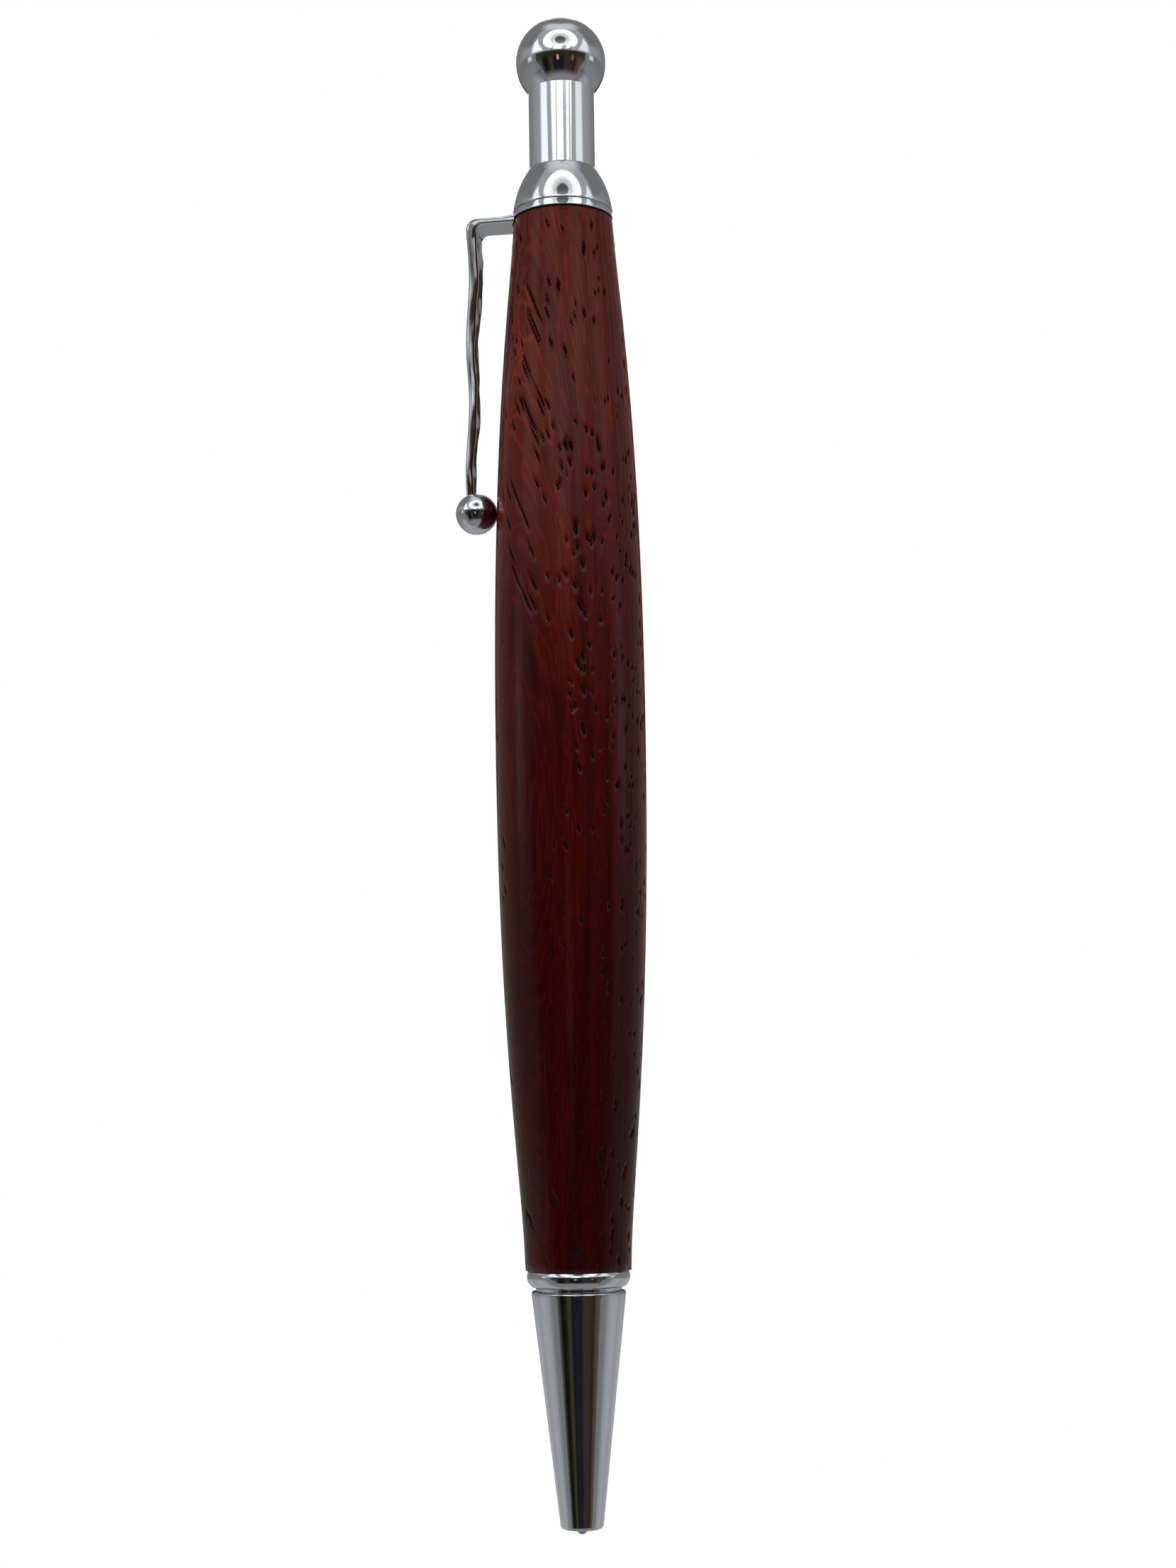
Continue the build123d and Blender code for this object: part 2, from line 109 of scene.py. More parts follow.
# %% [markdown]
# ## Small helpers
# A surface here is a grid of points worked out with numpy and put into a mesh in one go.  Round parts are
# a closed profile, as a lathe would cut it, carried round the axis.  Corners of the profile get true arcs,
# because no turned edge is perfectly sharp and the arc is what glints.


# %% Surfaces from grids
def mesh_object(name, points, faces, smooth_angle=32):
    """A mesh from points in millimetres and faces, shaded smooth but for edges sharper than the angle."""
    mesh = bpy.data.meshes.new(name)
    mesh.from_pydata(np.asarray(points, float) * MM, [], faces)
    mesh.update()
    piece = bpy.data.objects.new(name, mesh)
    bpy.context.scene.collection.objects.link(piece)
    mesh.shade_smooth()
    mesh.set_sharp_from_angle(angle=radians(smooth_angle))
    return piece


def grid_faces(rows, columns, wrap_rows, wrap_columns):
    """Quads between neighbours of a grid; a wrapped direction joins its last line to its first."""
    row = np.arange(rows if wrap_rows else rows - 1)
    column = np.arange(columns if wrap_columns else columns - 1)
    r, c = (side.ravel() for side in np.meshgrid(row, column, indexing="ij"))
    next_r, next_c = (r + 1) % rows, (c + 1) % columns
    corners = (r * columns + c, r * columns + next_c, next_r * columns + next_c, next_r * columns + c)
    return np.stack(corners, axis=1).tolist()


def closed_tube(rows, columns):
    """Faces of a tube of rows of points, with both ends closed."""
    ends = [list(range(columns))[::-1], list(range((rows - 1) * columns, rows * columns))]
    return grid_faces(rows, columns, False, True) + ends


def merged(piece, distance=1e-4):
    """Joins the doubled points at poles and points every face outwards."""
    shape = bmesh.new()
    shape.from_mesh(piece.data)
    bmesh.ops.remove_doubles(shape, verts=shape.verts, dist=distance * MM)
    bmesh.ops.dissolve_degenerate(shape, edges=shape.edges, dist=distance * MM)
    bmesh.ops.recalc_face_normals(shape, faces=shape.faces)
    shape.to_mesh(piece.data)
    shape.free()
    return piece


# %% Profiles with rounded corners
def rounded(corners, steps=7, longest=0.35):
    """A closed outline through corners (x, y, round): each corner becomes a circular arc of its round.

    The arc from A to B round a corner P is the weighted mean of A, P and B with weights (1-s)^2, 2ws(1-s)
    and s^2, where w is the sine of half the corner's angle, which makes the curve an exact circle.  Straight
    stretches are cut into steps no longer than `longest`, so that smooth shading stays true beside an arc.
    """
    corners = np.asarray(corners, float)
    places, rounds = corners[:, :2], corners[:, 2]
    arcs = []
    for i, corner in enumerate(places):
        towards_last = places[i - 1] - corner
        towards_next = places[(i + 1) % len(places)] - corner
        last_length, next_length = np.linalg.norm(towards_last), np.linalg.norm(towards_next)
        towards_last, towards_next = towards_last / last_length, towards_next / next_length
        if rounds[i] == 0:
            arcs.append(corner[None, :])
            continue
        half = np.arccos(np.clip(towards_last @ towards_next, -1, 1)) / 2
        reach = min(rounds[i] / np.tan(half), 0.48 * last_length, 0.48 * next_length)
        start, end = corner + towards_last * reach, corner + towards_next * reach
        s = np.linspace(0, 1, steps)[:, None]
        weight = np.sin(half)
        total = (1 - s) ** 2 + 2 * weight * s * (1 - s) + s ** 2
        arcs.append(((1 - s) ** 2 * start + 2 * weight * s * (1 - s) * corner + s ** 2 * end) / total)
    outline = []
    for i, arc in enumerate(arcs):
        gap = arcs[(i + 1) % len(arcs)][0] - arc[-1]
        cuts = max(1, int(np.ceil(np.linalg.norm(gap) / longest)))
        outline.append(arc)
        outline.append(arc[-1] + gap * (np.arange(1, cuts) / cuts)[:, None])
    return np.concatenate(outline)


def swept(r, turn, z):
    """Points at a radius, a turn about the axis and a height: x = r cos t, y = r sin t."""
    return np.stack([r * np.cos(turn), r * np.sin(turn), z + 0 * turn], axis=-1)


def turned(name, profile, segments=224):
    """A lathe part: each profile point (r, z) is carried round the axis."""
    profile = np.asarray(profile, float)
    turn = np.linspace(0, 2 * pi, segments, endpoint=False)
    points = swept(profile[:, :1], turn, profile[:, 1:2]).reshape(-1, 3)
    piece = mesh_object(name, points, grid_faces(len(profile), segments, True, True))
    merged(piece)
    piece.data.set_sharp_from_angle(angle=radians(32))
    print(name, len(piece.data.polygons), "faces")
    return piece


# %% [markdown]
# ## Colours and nodes
# Colours are written as the sRGB hex values a person would pick, and one function turns them into the
# linear values that the renderer works in.  One small helper adds a node with its settings and its links.


# %% Colour and node helpers
def linear(hex_colour):
    """Linear RGBA of an sRGB hex colour: v / 12.92 below 0.04045, else ((v + 0.055) / 1.055) ^ 2.4."""
    parts = [int(hex_colour[i:i + 2], 16) / 255 for i in (1, 3, 5)]
    return [*(v / 12.92 if v <= 0.04045 else ((v + 0.055) / 1.055) ** 2.4 for v in parts), 1.0]


def plug(tree, node, inputs):
    """Fills a node's inputs: each gets a value, or a link from a socket or from a node's first output."""
    for socket, value in inputs.items():
        if isinstance(value, bpy.types.Node):
            value = value.outputs[0]
        if isinstance(value, bpy.types.NodeSocket):
            tree.links.new(value, node.inputs[socket])
        else:
            node.inputs[socket].default_value = value


def add(tree, kind, inputs=(), **settings):
    """Adds a shader node of a kind with its settings, and plugs its inputs."""
    node = tree.nodes.new("ShaderNode" + kind)
    for setting, value in settings.items():
        setattr(node, setting, value)
    plug(tree, node, dict(inputs))
    return node


def new_material(name, **shader_inputs):
    """A material with one Principled shader; returns it with its tree and its shader."""
    material = bpy.data.materials.new(name)
    material.use_nodes = True
    tree = material.node_tree
    tree.nodes.clear()
    shader = add(tree, "BsdfPrincipled", shader_inputs)
    add(tree, "OutputMaterial", {"Surface": shader})
    return material, tree, shader


def ramp(tree, factor, stops, interpolation="LINEAR"):
    """A colour ramp over (place, value or hex colour) stops."""
    node = add(tree, "ValToRGB", {"Fac": factor})
    node.color_ramp.interpolation = interpolation
    while len(node.color_ramp.elements) < len(stops):
        node.color_ramp.elements.new(0.5)
    for element, (place, value) in zip(node.color_ramp.elements, stops):
        element.position = place
        element.color = linear(value) if isinstance(value, str) else (value, value, value, 1)
    return node


# %% [markdown]
# ## Camera
# The pen is seen from a hand's breadth or two away, from a little above its nose and looking slightly
# up, so it narrows towards the top.  The camera also leans about a degree.

# %% Camera
camera_data = bpy.data.cameras.new("camera")
camera = bpy.data.objects.new("camera", camera_data)
bpy.context.scene.collection.objects.link(camera)
bpy.context.scene.camera = camera
# The pen is turned a little, so that the clip goes back and shows its inner face
FACING = radians(-9)
camera_distance = 234.1 * MM
camera_pitch = radians(6.8)
camera_roll = radians(0.89)
aim_height = 66.6 * MM
aim_side = 1.53 * MM
camera_data.sensor_width = 36
camera_data.lens = 58.45
forward = Vector((sin(FACING) * cos(camera_pitch), cos(FACING) * cos(camera_pitch), sin(camera_pitch)))
level_right = Vector((cos(FACING), -sin(FACING), 0))
level_up = level_right.cross(forward)
right = level_right * cos(camera_roll) - level_up * sin(camera_roll)
up = level_right * sin(camera_roll) + level_up * cos(camera_roll)
aim = level_right * aim_side + Vector((0, 0, aim_height))
camera.matrix_world = Matrix.Translation(aim - forward * camera_distance) @ \
    Matrix((right, up, -forward)).transposed().to_4x4()
camera_data.clip_start, camera_data.clip_end = 0.01, 20
print("camera at", [round(v / MM, 1) for v in camera.location], "mm")

# %% [markdown]
# ## Floor and daylight
# The pen is on white, so the floor sweeps up into the wall with no line: a bowl of revolution, flat in
# the middle, that glows evenly.  It is there for the camera only, and the chrome doesn't see it.  The
# wood gets its light from a plain sky, brighter above than below.


# %% Stage helpers
def smooth(value, low, high):
    """0 below low, 1 above high, and 3s^2 - 2s^3 of the share s in between."""
    s = np.clip((value - low) / (high - low), 0, 1)
    return s * s * (3 - 2 * s)


def staged(piece, camera_sees, gloss_sees):
    """Says which rays meet a stage piece; it never casts a shadow."""
    piece.visible_camera, piece.visible_glossy, piece.visible_shadow = camera_sees, gloss_sees, False
    piece.visible_transmission = camera_sees
    return piece


def glowing(name):
    """An emission material of white light; returns it with its tree and its shader."""
    material = bpy.data.materials.new(name)
    material.use_nodes = True
    tree = material.node_tree
    tree.nodes.clear()
    glow = add(tree, "Emission", {"Color": linear("#ffffff"), "Strength": 1.0})
    add(tree, "OutputMaterial", {"Surface": glow})
    return material, tree, glow


# %% Daylight
bpy.context.scene.view_settings.view_transform = "Standard"
bpy.context.scene.view_settings.look = "None"
world = bpy.data.worlds.new("tent")
bpy.context.scene.world = world
world.use_nodes = True
world_tree = world.node_tree
world_tree.nodes.clear()
direction = add(world_tree, "TexCoord").outputs["Generated"]
upwards = add(world_tree, "SeparateXYZ", {"Vector": direction}).outputs["Z"]
rise = add(world_tree, "MapRange", {"Value": upwards, "From Min": -0.6, "From Max": 0.8})
sky = ramp(world_tree, rise, [(0.0, 0.55), (0.5, 0.8), (1.0, 1.15)])
daylight = add(world_tree, "Background", {"Color": sky, "Strength": 0.62})
add(world_tree, "OutputWorld", {"Surface": daylight})
print("daylight from", world.name)

# %% Floor and wall
FLAT_R, COVE_R, WALL_TOP, BOWL_SIDES = 900, 500, 2500, 96
floor_z = cad_low.z / MM - 0.3
cove = np.linspace(0, pi / 2, 16)
bowl_r = np.concatenate([np.linspace(1, FLAT_R, 8), FLAT_R + COVE_R * np.sin(cove[1:]), [FLAT_R + COVE_R]])
bowl_z = np.concatenate([np.zeros(8), COVE_R * (1 - np.cos(cove[1:])), [WALL_TOP]]) + floor_z
around = np.linspace(0, 2 * pi, BOWL_SIDES, endpoint=False)
bowl_points = swept(bowl_r[:, None], around, bowl_z[:, None]).reshape(-1, 3)
bowl_faces = grid_faces(len(bowl_r), BOWL_SIDES, False, True) + [list(range(BOWL_SIDES))[::-1]]
backdrop = staged(mesh_object("backdrop", bowl_points, bowl_faces), camera_sees=True, gloss_sees=False)
backdrop.data.materials.append(glowing("seamless_paper_lit")[0])
print("floor at", round(floor_z, 2), "mm")

# %% [markdown]
# ## Light tent
# Bright chrome shows its surroundings more than itself, so the surroundings are built too: a grey tent, a
# big oval lamp with a hole in it high in front, a white wedge on each side of it, and lower down a dark
# opening with upright stripes, a room seen between the tent's flaps.  Behind the pen are a softer lamp, a
# darker gap and two doorways.  The tent is a wide ball round the pen, and each of its points gets its
# light from its direction: degrees to the right of the front, and degrees up.  Only gloss sees it.


# %% Walls of the tent
def laid_over(under, over, share):
    """One light over another, by share."""
    return under * (1 - share[..., None]) + np.asarray(over) * share[..., None]


def grey(value):
    """The same value for red, green and blue."""
    return np.stack([value] * 3, axis=-1)


def within(value, middle, half, edge):
    """1 near the middle and 0 from half away, with a smooth edge inside that."""
    return smooth(half - np.abs(value - middle), 0, edge)


def walls(side, height):
    """Grey cloth, a little lighter below and in a band up the sides, with a glow in front and on top."""
    away = np.abs(side)
    light = grey(0.23 + 0.07 * smooth(-height, -14, 20))
    band = smooth(152 - away, 0, 72) * smooth(height, 12, 18) * smooth(36 - height, 0, 10)
    light = light + grey(0.2 * band)
    light = laid_over(light, [0.46, 0.48, 0.49], smooth(85 - away, 0, 12) * smooth(height, 8, 16))
    return laid_over(light, [0.78, 0.83, 0.86], smooth(height, 60, 76) * smooth(150 - away, 0, 60))


# %% Wedges and lamp
LAMP_AXIS, LAMP_HALF_WIDTH, LAMP_HALF_HEIGHT = radians(43), 0.62, 0.47
HOLE_HALF_WIDTH, HOLE_HALF_HEIGHT, HOLE_DROP = 0.22, 0.19, 0.06
LAMP_FOOT_LIGHT = 1.35


def wedges(light, side, height):
    """White triangles beside the lamp, brighter on the left, and a low sliver further out."""
    for way, strength in ((-1, 1.45), (1, 1.15)):
        beside = side * way
        wedge = smooth(47 - height - 1.1 * np.abs(beside - 70), 0, 5) * smooth(beside, 43, 46)
        wedge = wedge * smooth(height, 15, 19) * smooth(82 - beside, 0, 12)
        light = laid_over(light, strength * np.array([1, 1.02, 1.05]), wedge)
        sliver = within(beside, 84, 9, 5) * smooth(height, 2, 6) * smooth(14 - height, 0, 3)
        light = laid_over(light, [0.85, 0.88, 0.90], sliver)
    return light


def lamp(light, side, height):
    """An oval lamp, dimmer towards its middle, with a dark hole that has a bright lower rim.

    A direction's place on the lamp is its sideways part and its part upwards from the lamp's axis.  Reach
    and hole are its distances from the two middles, as shares of the way to the lamp's and hole's edges.
    """
    turn, lift = np.radians(side), np.radians(height)
    across, depth, upright = np.cos(lift) * np.sin(turn), np.cos(lift) * np.cos(turn), np.sin(lift)
    up_way = upright * cos(LAMP_AXIS) - depth * sin(LAMP_AXIS)
    in_front = depth * cos(LAMP_AXIS) + upright * sin(LAMP_AXIS)
    reach = np.hypot(across / LAMP_HALF_WIDTH, up_way / LAMP_HALF_HEIGHT) + 2 * (in_front < 0)
    hole = np.hypot(across / HOLE_HALF_WIDTH, (up_way + HOLE_DROP) / HOLE_HALF_HEIGHT)
    in_hole = smooth(1 - hole, 0, 0.1)
    light = laid_over(light, [1.75, 1.8, 1.82], smooth(1 - reach, 0, 0.05))
    light = laid_over(light, [0.82, 0.84, 0.79], smooth(0.80 - reach, 0, 0.42))
    light = laid_over(light, [1.5, 1.55, 1.6], smooth(1.14 - hole, 0, 0.05) * smooth(-up_way, 0.02, 0.08))
    light = laid_over(light, [0.10, 0.12, 0.125], in_hole)
    return laid_over(light, [0.30, 0.33, 0.34], in_hole * smooth(-up_way, 0.0, 0.2) * 0.8)


def seams(light, side, height):
    """Upright seams that cross the foot of the lamp, leaning a little."""
    foot = smooth(height, 13, 16) * smooth(25.5 - height, 0, 2)
    for at, wide, dim in ((-19, 3.5, 0.58), (10, 6.5, 0.46), (27, 4.0, 0.56), (-4, 1.5, 0.75)):
        seam = within(side - 0.6 * (height - 21), at, wide, 2.0) * foot
        light = light * (1 - (1 - dim / LAMP_FOOT_LIGHT) * seam[..., None])
    return light


# %% Opening and back
# The room in the opening, from left to right: degrees to the right, and its red, green and blue light
ROOM = np.array([
    (-70, .14, .14, .14), (-52, .13, .13, .12), (-47, .03, .03, .02), (-42, .004, .006, .002),
    (-37, .024, .021, .009), (-33, .030, .027, .015), (-28, .095, .088, .056), (-21, .080, .070, .046),
    (-18, .015, .017, .022), (-9, .022, .027, .055), (2, .018, .023, .048), (6, .030, .022, .032),
    (12, .080, .056, .044), (30, .080, .058, .040), (36, .045, .035, .022), (40, .060, .042, .028),
    (46, .19, .12, .085), (52, .19, .14, .12), (70, .16, .16, .16)])


def opening(light, side, height):
    """A grey edge, then the dark room with two warm spots in it; wide at the top, narrow below."""
    away = np.abs(side)
    below = smooth(14.5 - height, 0, 2.5) * smooth(height, -52, -30)
    narrowing = 9 * smooth(-height, 2, 20)
    light = laid_over(light, [0.23, 0.235, 0.24], below * smooth(74 - away, 0, 5))
    room = np.stack([np.interp(side, ROOM[:, 0], band) for band in ROOM[:, 1:].T], axis=-1)
    room = laid_over(room * 0.6, [0.030, 0.030, 0.014], smooth(height, -8, 4) * 0.8)
    light = laid_over(light, room, below * smooth(66 - narrowing - away, 0, 3))
    for at, wide, glow in ((-7, 3.5, [0.80, 0.42, 0.30]), (31, 3.0, [0.34, 0.17, 0.12])):
        spot = within(side, at, wide, 1.5) * smooth(height, -12, -9) * smooth(3 - height, 0, 3)
        light = laid_over(light, glow, spot)
    return light


def back(light, side, height):
    """A softer lamp, a darker gap under it and a doorway on each side, for the pen's back to show."""
    off_back = 180 - np.abs(side)
    soft_lamp = smooth(17 - off_back, 0, 4) * smooth(height, 14, 20) * smooth(60 - height, 0, 8)
    gap = smooth(15 - off_back, 0, 3) * smooth(8 - height, 0, 4) * smooth(height, -9, -3)
    doorway = within(off_back, 18, 9, 3) * smooth(height, 4, 8) * smooth(21.5 - height, 0, 2)
    light = laid_over(light, [1.2, 1.22, 1.25], soft_lamp)
    light = laid_over(light, [0.05, 0.055, 0.065], gap)
    return laid_over(light, [0.030, 0.030, 0.020], doorway)


# %% Tent
cloth, cloth_tree, cloth_glow = glowing("lit_tent_cloth")
plug(cloth_tree, cloth_glow, {"Color": add(cloth_tree, "Attribute", attribute_name="light")})
cloth.cycles.emission_sampling = "NONE"


def lit(piece, light):
    """Hangs the glowing cloth on a piece, with a light of its own at every point."""
    values = np.ones((len(piece.data.vertices), 4), np.float32)
    values[:, :3] = light.reshape(-1, 3)
    piece.data.attributes.new("light", "FLOAT_COLOR", "POINT").data.foreach_set("color", values.ravel())
    piece.data.materials.append(cloth)
    piece.visible_diffuse = False


# A ball with a point for every degree
TENT_R, TENT_MIDDLE_Z, TENT_ROWS, TENT_COLUMNS = 1500, 80, 180, 360
height_grid, side_grid = np.meshgrid(np.linspace(-89.5, 89.5, TENT_ROWS), np.arange(-180, 180, 1.0),
                                     indexing="ij")
turn, lift = np.radians(side_grid) - FACING, np.radians(height_grid)
tent_points = TENT_R * np.stack([np.cos(lift) * np.sin(turn), -np.cos(lift) * np.cos(turn), np.sin(lift)],
                                axis=-1).reshape(-1, 3) + [0, 0, TENT_MIDDLE_Z]
tent = staged(mesh_object("light_tent", tent_points, closed_tube(TENT_ROWS, TENT_COLUMNS)), camera_sees=False,
              gloss_sees=True)
tent_light = walls(side_grid, height_grid)
for part in (wedges, lamp, seams, opening, back):
    tent_light = part(tent_light, side_grid, height_grid)
lit(tent, tent_light)
print("tent: light from", round(float(tent_light.min()), 3), "to", round(float(tent_light.max()), 2))

# %% [markdown]
# ## Table top and lamps
# A table's top under the pen, lit from above, shows in the cone and the lower barrel only, which are the
# parts that are near enough.  It lies at the sides and behind, and it fades outwards.  Three soft lamps
# shape the wood; the chrome doesn't see them.

# %% Table top
TABLE_DROP = 12
table_r, table_turn = np.linspace(14, 330, 40)[:, None], np.radians(np.arange(58, 303, 2.0))[None, :]
table_points = np.stack([table_r * np.sin(table_turn - FACING), -table_r * np.cos(table_turn - FACING),
                         floor_z - TABLE_DROP + 0 * table_r * table_turn], axis=-1)
table_faces = grid_faces(*table_points.shape[:2], False, False)
table = staged(mesh_object("table_top", table_points.reshape(-1, 3), table_faces), camera_sees=False,
               gloss_sees=True)
from_front = np.degrees(np.minimum(table_turn, 2 * pi - table_turn)) + 0 * table_r
table_glow = (0.24 + 0.22 * smooth(from_front, 66, 88)) * (1 - 0.35 * smooth(table_r, 150, 330))
table_glow *= 1 + 0.07 * np.sin(from_front / 7.0) * smooth(from_front, 84, 96)
lit(table, grey(table_glow) * [0.98, 1.0, 1.02])


# %% Soft lamps
def area_lamp(name, place, power, size, aim=(0, 0, 70)):
    """A soft square lamp aimed at the pen."""
    lamp_data = bpy.data.lights.new(name, "AREA")
    lamp_data.energy, lamp_data.size = power, size * MM
    light = bpy.data.objects.new(name, lamp_data)
    light.location = Vector(place) * MM
    light.rotation_euler = (Vector(aim) - Vector(place)).to_track_quat("-Z", "Y").to_euler()
    light.visible_glossy = False
    bpy.context.scene.collection.objects.link(light)
    return light


for side in (-1, 1):
    area_lamp("soft_left" if side < 0 else "soft_right", (500 * side, -450, 260), 1.6, 350)
area_lamp("soft_back", (0, 500, 400), 1.5, 400)
print("stage:", backdrop.name, tent.name, table.name)

# %% [markdown]
# ## Chrome plate
# The fittings are brass, turned, buffed and chromed.  Bright chrome is a metal that reflects a little over
# half of the light, evenly over the colours.  Buffing leaves a faint haze that changes over the surface,
# a few pits and hairline scratches, so the roughness and the bump come from noise a fraction of a
# millimetre across instead of one even value.


# %% Chrome
def chrome_plate():
    """Bright chrome on buffed brass: haze from slow noise, sparse pits from small cells."""
    material, tree, shader = new_material("chrome_plate_on_buffed_brass", Metallic=1.0)
    place = add(tree, "TexCoord").outputs["Object"]
    haze = add(tree, "TexNoise", {"Vector": place, "Scale": 1 / (2.5 * MM), "Detail": 4.0})
    rough = add(tree, "MapRange", {"Value": haze, "From Min": 0.35, "From Max": 0.75,
                                   "To Min": 0.045, "To Max": 0.13})
    grain = add(tree, "TexNoise", {"Vector": place, "Scale": 1 / (0.5 * MM), "Detail": 3.0})
    pits = add(tree, "TexVoronoi", {"Vector": place, "Scale": 1 / (1.6 * MM)})
    pit = add(tree, "MapRange", {"Value": pits, "From Min": 0.03, "From Max": 0.07})
    height = add(tree, "Math", {0: grain, 1: pit}, operation="ADD")
    bump = add(tree, "Bump", {"Height": height, "Strength": 0.06, "Distance": 0.02 * MM})
    plug(tree, shader, {"Base Color": linear("#cfd2d6"), "Roughness": rough, "Normal": bump})
    return material


chrome = chrome_plate()
print("made", chrome.name)

# %% [markdown]
# ## Inner metals and plastics
# These show only when the cone is off or through the gaps, but they are finished all the same: drawn
# brass with fine streaks from the die, brushed steel, moulded acetal and nylon with a fine spark-eroded
# texture, and thick ink.


# %% Inner materials
def drawn_metal(name, hex_colour, roughness, streak):
    """A metal with fine streaks along Z: noise stretched thirty times along the axis."""
    material, tree, shader = new_material(name, Metallic=1.0)
    place = add(tree, "TexCoord").outputs["Object"]
    long_way = add(tree, "Mapping", {"Vector": place, "Scale": (1.0, 1.0, 1 / 30)})
    streaks = add(tree, "TexNoise", {"Vector": long_way, "Scale": 1 / (streak * MM), "Detail": 5.0})
    rough = add(tree, "MapRange", {"Value": streaks, "To Min": roughness * 0.6, "To Max": roughness * 1.4})
    bump = add(tree, "Bump", {"Height": streaks, "Strength": 0.25, "Distance": 0.01 * MM})
    plug(tree, shader, {"Base Color": linear(hex_colour), "Roughness": rough, "Normal": bump})
    return material


def moulded(name, dark, light, roughness, texture):
    """A moulded plastic: fine even bump from the mould, and a slight change of shade across the part."""
    material, tree, shader = new_material(name, Roughness=roughness)
    place = add(tree, "TexCoord").outputs["Object"]
    shade = add(tree, "TexNoise", {"Vector": place, "Scale": 1 / (3 * MM), "Detail": 2.0})
    fine = add(tree, "TexNoise", {"Vector": place, "Scale": 1 / (texture * MM), "Detail": 2.0})
    bump = add(tree, "Bump", {"Height": fine, "Strength": 0.3, "Distance": 0.02 * MM})
    plug(tree, shader, {"Base Color": ramp(tree, shade, [(0.3, dark), (0.7, light)]), "Normal": bump})
    return material


brass = drawn_metal("drawn_brass_tube", "#c9a24e", 0.26, 0.12)
steel = drawn_metal("brushed_steel", "#a9aaac", 0.28, 0.08)
spring_steel = drawn_metal("drawn_spring_wire", "#8f9093", 0.22, 0.05)
acetal = moulded("acetal_moulded_black", "#141416", "#1d1d20", 0.42, 0.10)
nylon = moulded("nylon_moulded_natural", "#d9d5c8", "#e4e1d6", 0.38, 0.10)
ink = moulded("paste_ink", "#04050f", "#080a1c", 0.12, 0.40)
cad_finishes = {"brass_tube": brass, "refill_point": brass, "refill_barrel": steel, "stop_collar": steel,
                "writing_ball": steel, "mechanism_housing": acetal, "push_cam": acetal, "refill_plug": acetal,
                "rotor_cam": nylon, "ink_column": ink, "upper_coupler": chrome}
for node, finish in cad_finishes.items():
    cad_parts[node].data.materials.clear()
    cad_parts[node].data.materials.append(finish)
print("CAD nodes finished:", ", ".join(sorted(cad_finishes)))

# %% [markdown]
# ## The barrel
# The barrel is one piece of padauk, drilled, glued on its tube and turned between bushings.  It is an
# open-pored wood: the vessels that carried the sap are tubes a third of a millimetre wide, and wherever
# the turned surface cuts one it leaves a slit.  A tube that runs along the surface leaves a long slit and
# one that dives into it leaves a short dash.  So the vessels are made as tubes in space, all leaning the
# same way, and the grid of the surface sinks wherever it lies inside one.  That puts every slit at the
# right length and slant on all sides by itself.


# %% Vessels in space
VESSEL_LEAN = np.array([0.42, -0.27, -1.0]) / np.linalg.norm([0.42, -0.27, -1.0])
SHEET_WAY = np.cross(VESSEL_LEAN, [0.0, 0.0, 1.0])
SHEET_WAY /= np.linalg.norm(SHEET_WAY)
IN_SHEET = np.cross(VESSEL_LEAN, SHEET_WAY)
THINNEST_VESSEL, WIDEST_VESSEL = 0.12, 0.21
# Denser wood with few vessels: the side away from this direction, up to this height
OPEN_SIDE, DENSE_FROM, DENSE_TOP = np.array([0.99, 0.16, 0.0]), -2.4, 84


def vessel_depth(points, count=1150, seed=11):
    """How deep each point lies inside a vessel: 0 outside, 1 on a vessel's axis.

    A point's place across the grain is its two coordinates at right angles to the lean.  For a vessel of
    radius q whose axis is d away, the depth is 1 - (d / q)^2, faded out where the vessel pinches shut.
    Where the surface runs along the sheets, half of the vessels are left out and the others are thinner.
    """
    along, a, b = points @ VESSEL_LEAN, points @ SHEET_WAY, points @ IN_SHEET
    a = a + 0.22 * np.sin(along / 7.0 + b / 4.0)
    b = b + 0.22 * np.sin(along / 9.0 + a / 5.0)
    random = np.random.default_rng(seed)
    depth = np.zeros(len(points))
    for start in random.integers(0, len(points), count):
        keep = random.uniform()
        lies_along = smooth(abs(a[start]) / np.hypot(*points[start, :2]), 0.7, 0.9)
        is_dense = points[start] @ OPEN_SIDE < DENSE_FROM and points[start, 2] < DENSE_TOP
        if keep < 0.5 * lies_along or (is_dense and keep < 0.97):
            continue
        vessel_r = random.uniform(THINNEST_VESSEL, WIDEST_VESSEL) * (1 - 0.36 * lies_along)
        pinch, phase = random.uniform(3.5, 8.0), random.uniform(0, 2 * pi)
        share = 1 - ((a - a[start]) ** 2 + (b - b[start]) ** 2) / vessel_r ** 2
        is_open = smooth(np.sin(along / pinch + phase), -0.75, -0.45)
        depth = np.maximum(depth, np.clip(share, 0, 1) * is_open)
    return depth


# %% Barrel surface
def barrel_outline():
    """The CAD barrel's outer radius as a smooth function of height: a polynomial through its outer points."""
    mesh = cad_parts["wood_barrel"].data
    places = np.zeros(len(mesh.vertices) * 3)
    mesh.vertices.foreach_get("co", places)
    places = places.reshape(-1, 3) / MM
    r = np.hypot(places[:, 0], places[:, 1])
    outer = r > tube_r + 0.3
    return np.polynomial.Polynomial.fit(places[outer, 2], r[outer], 11)


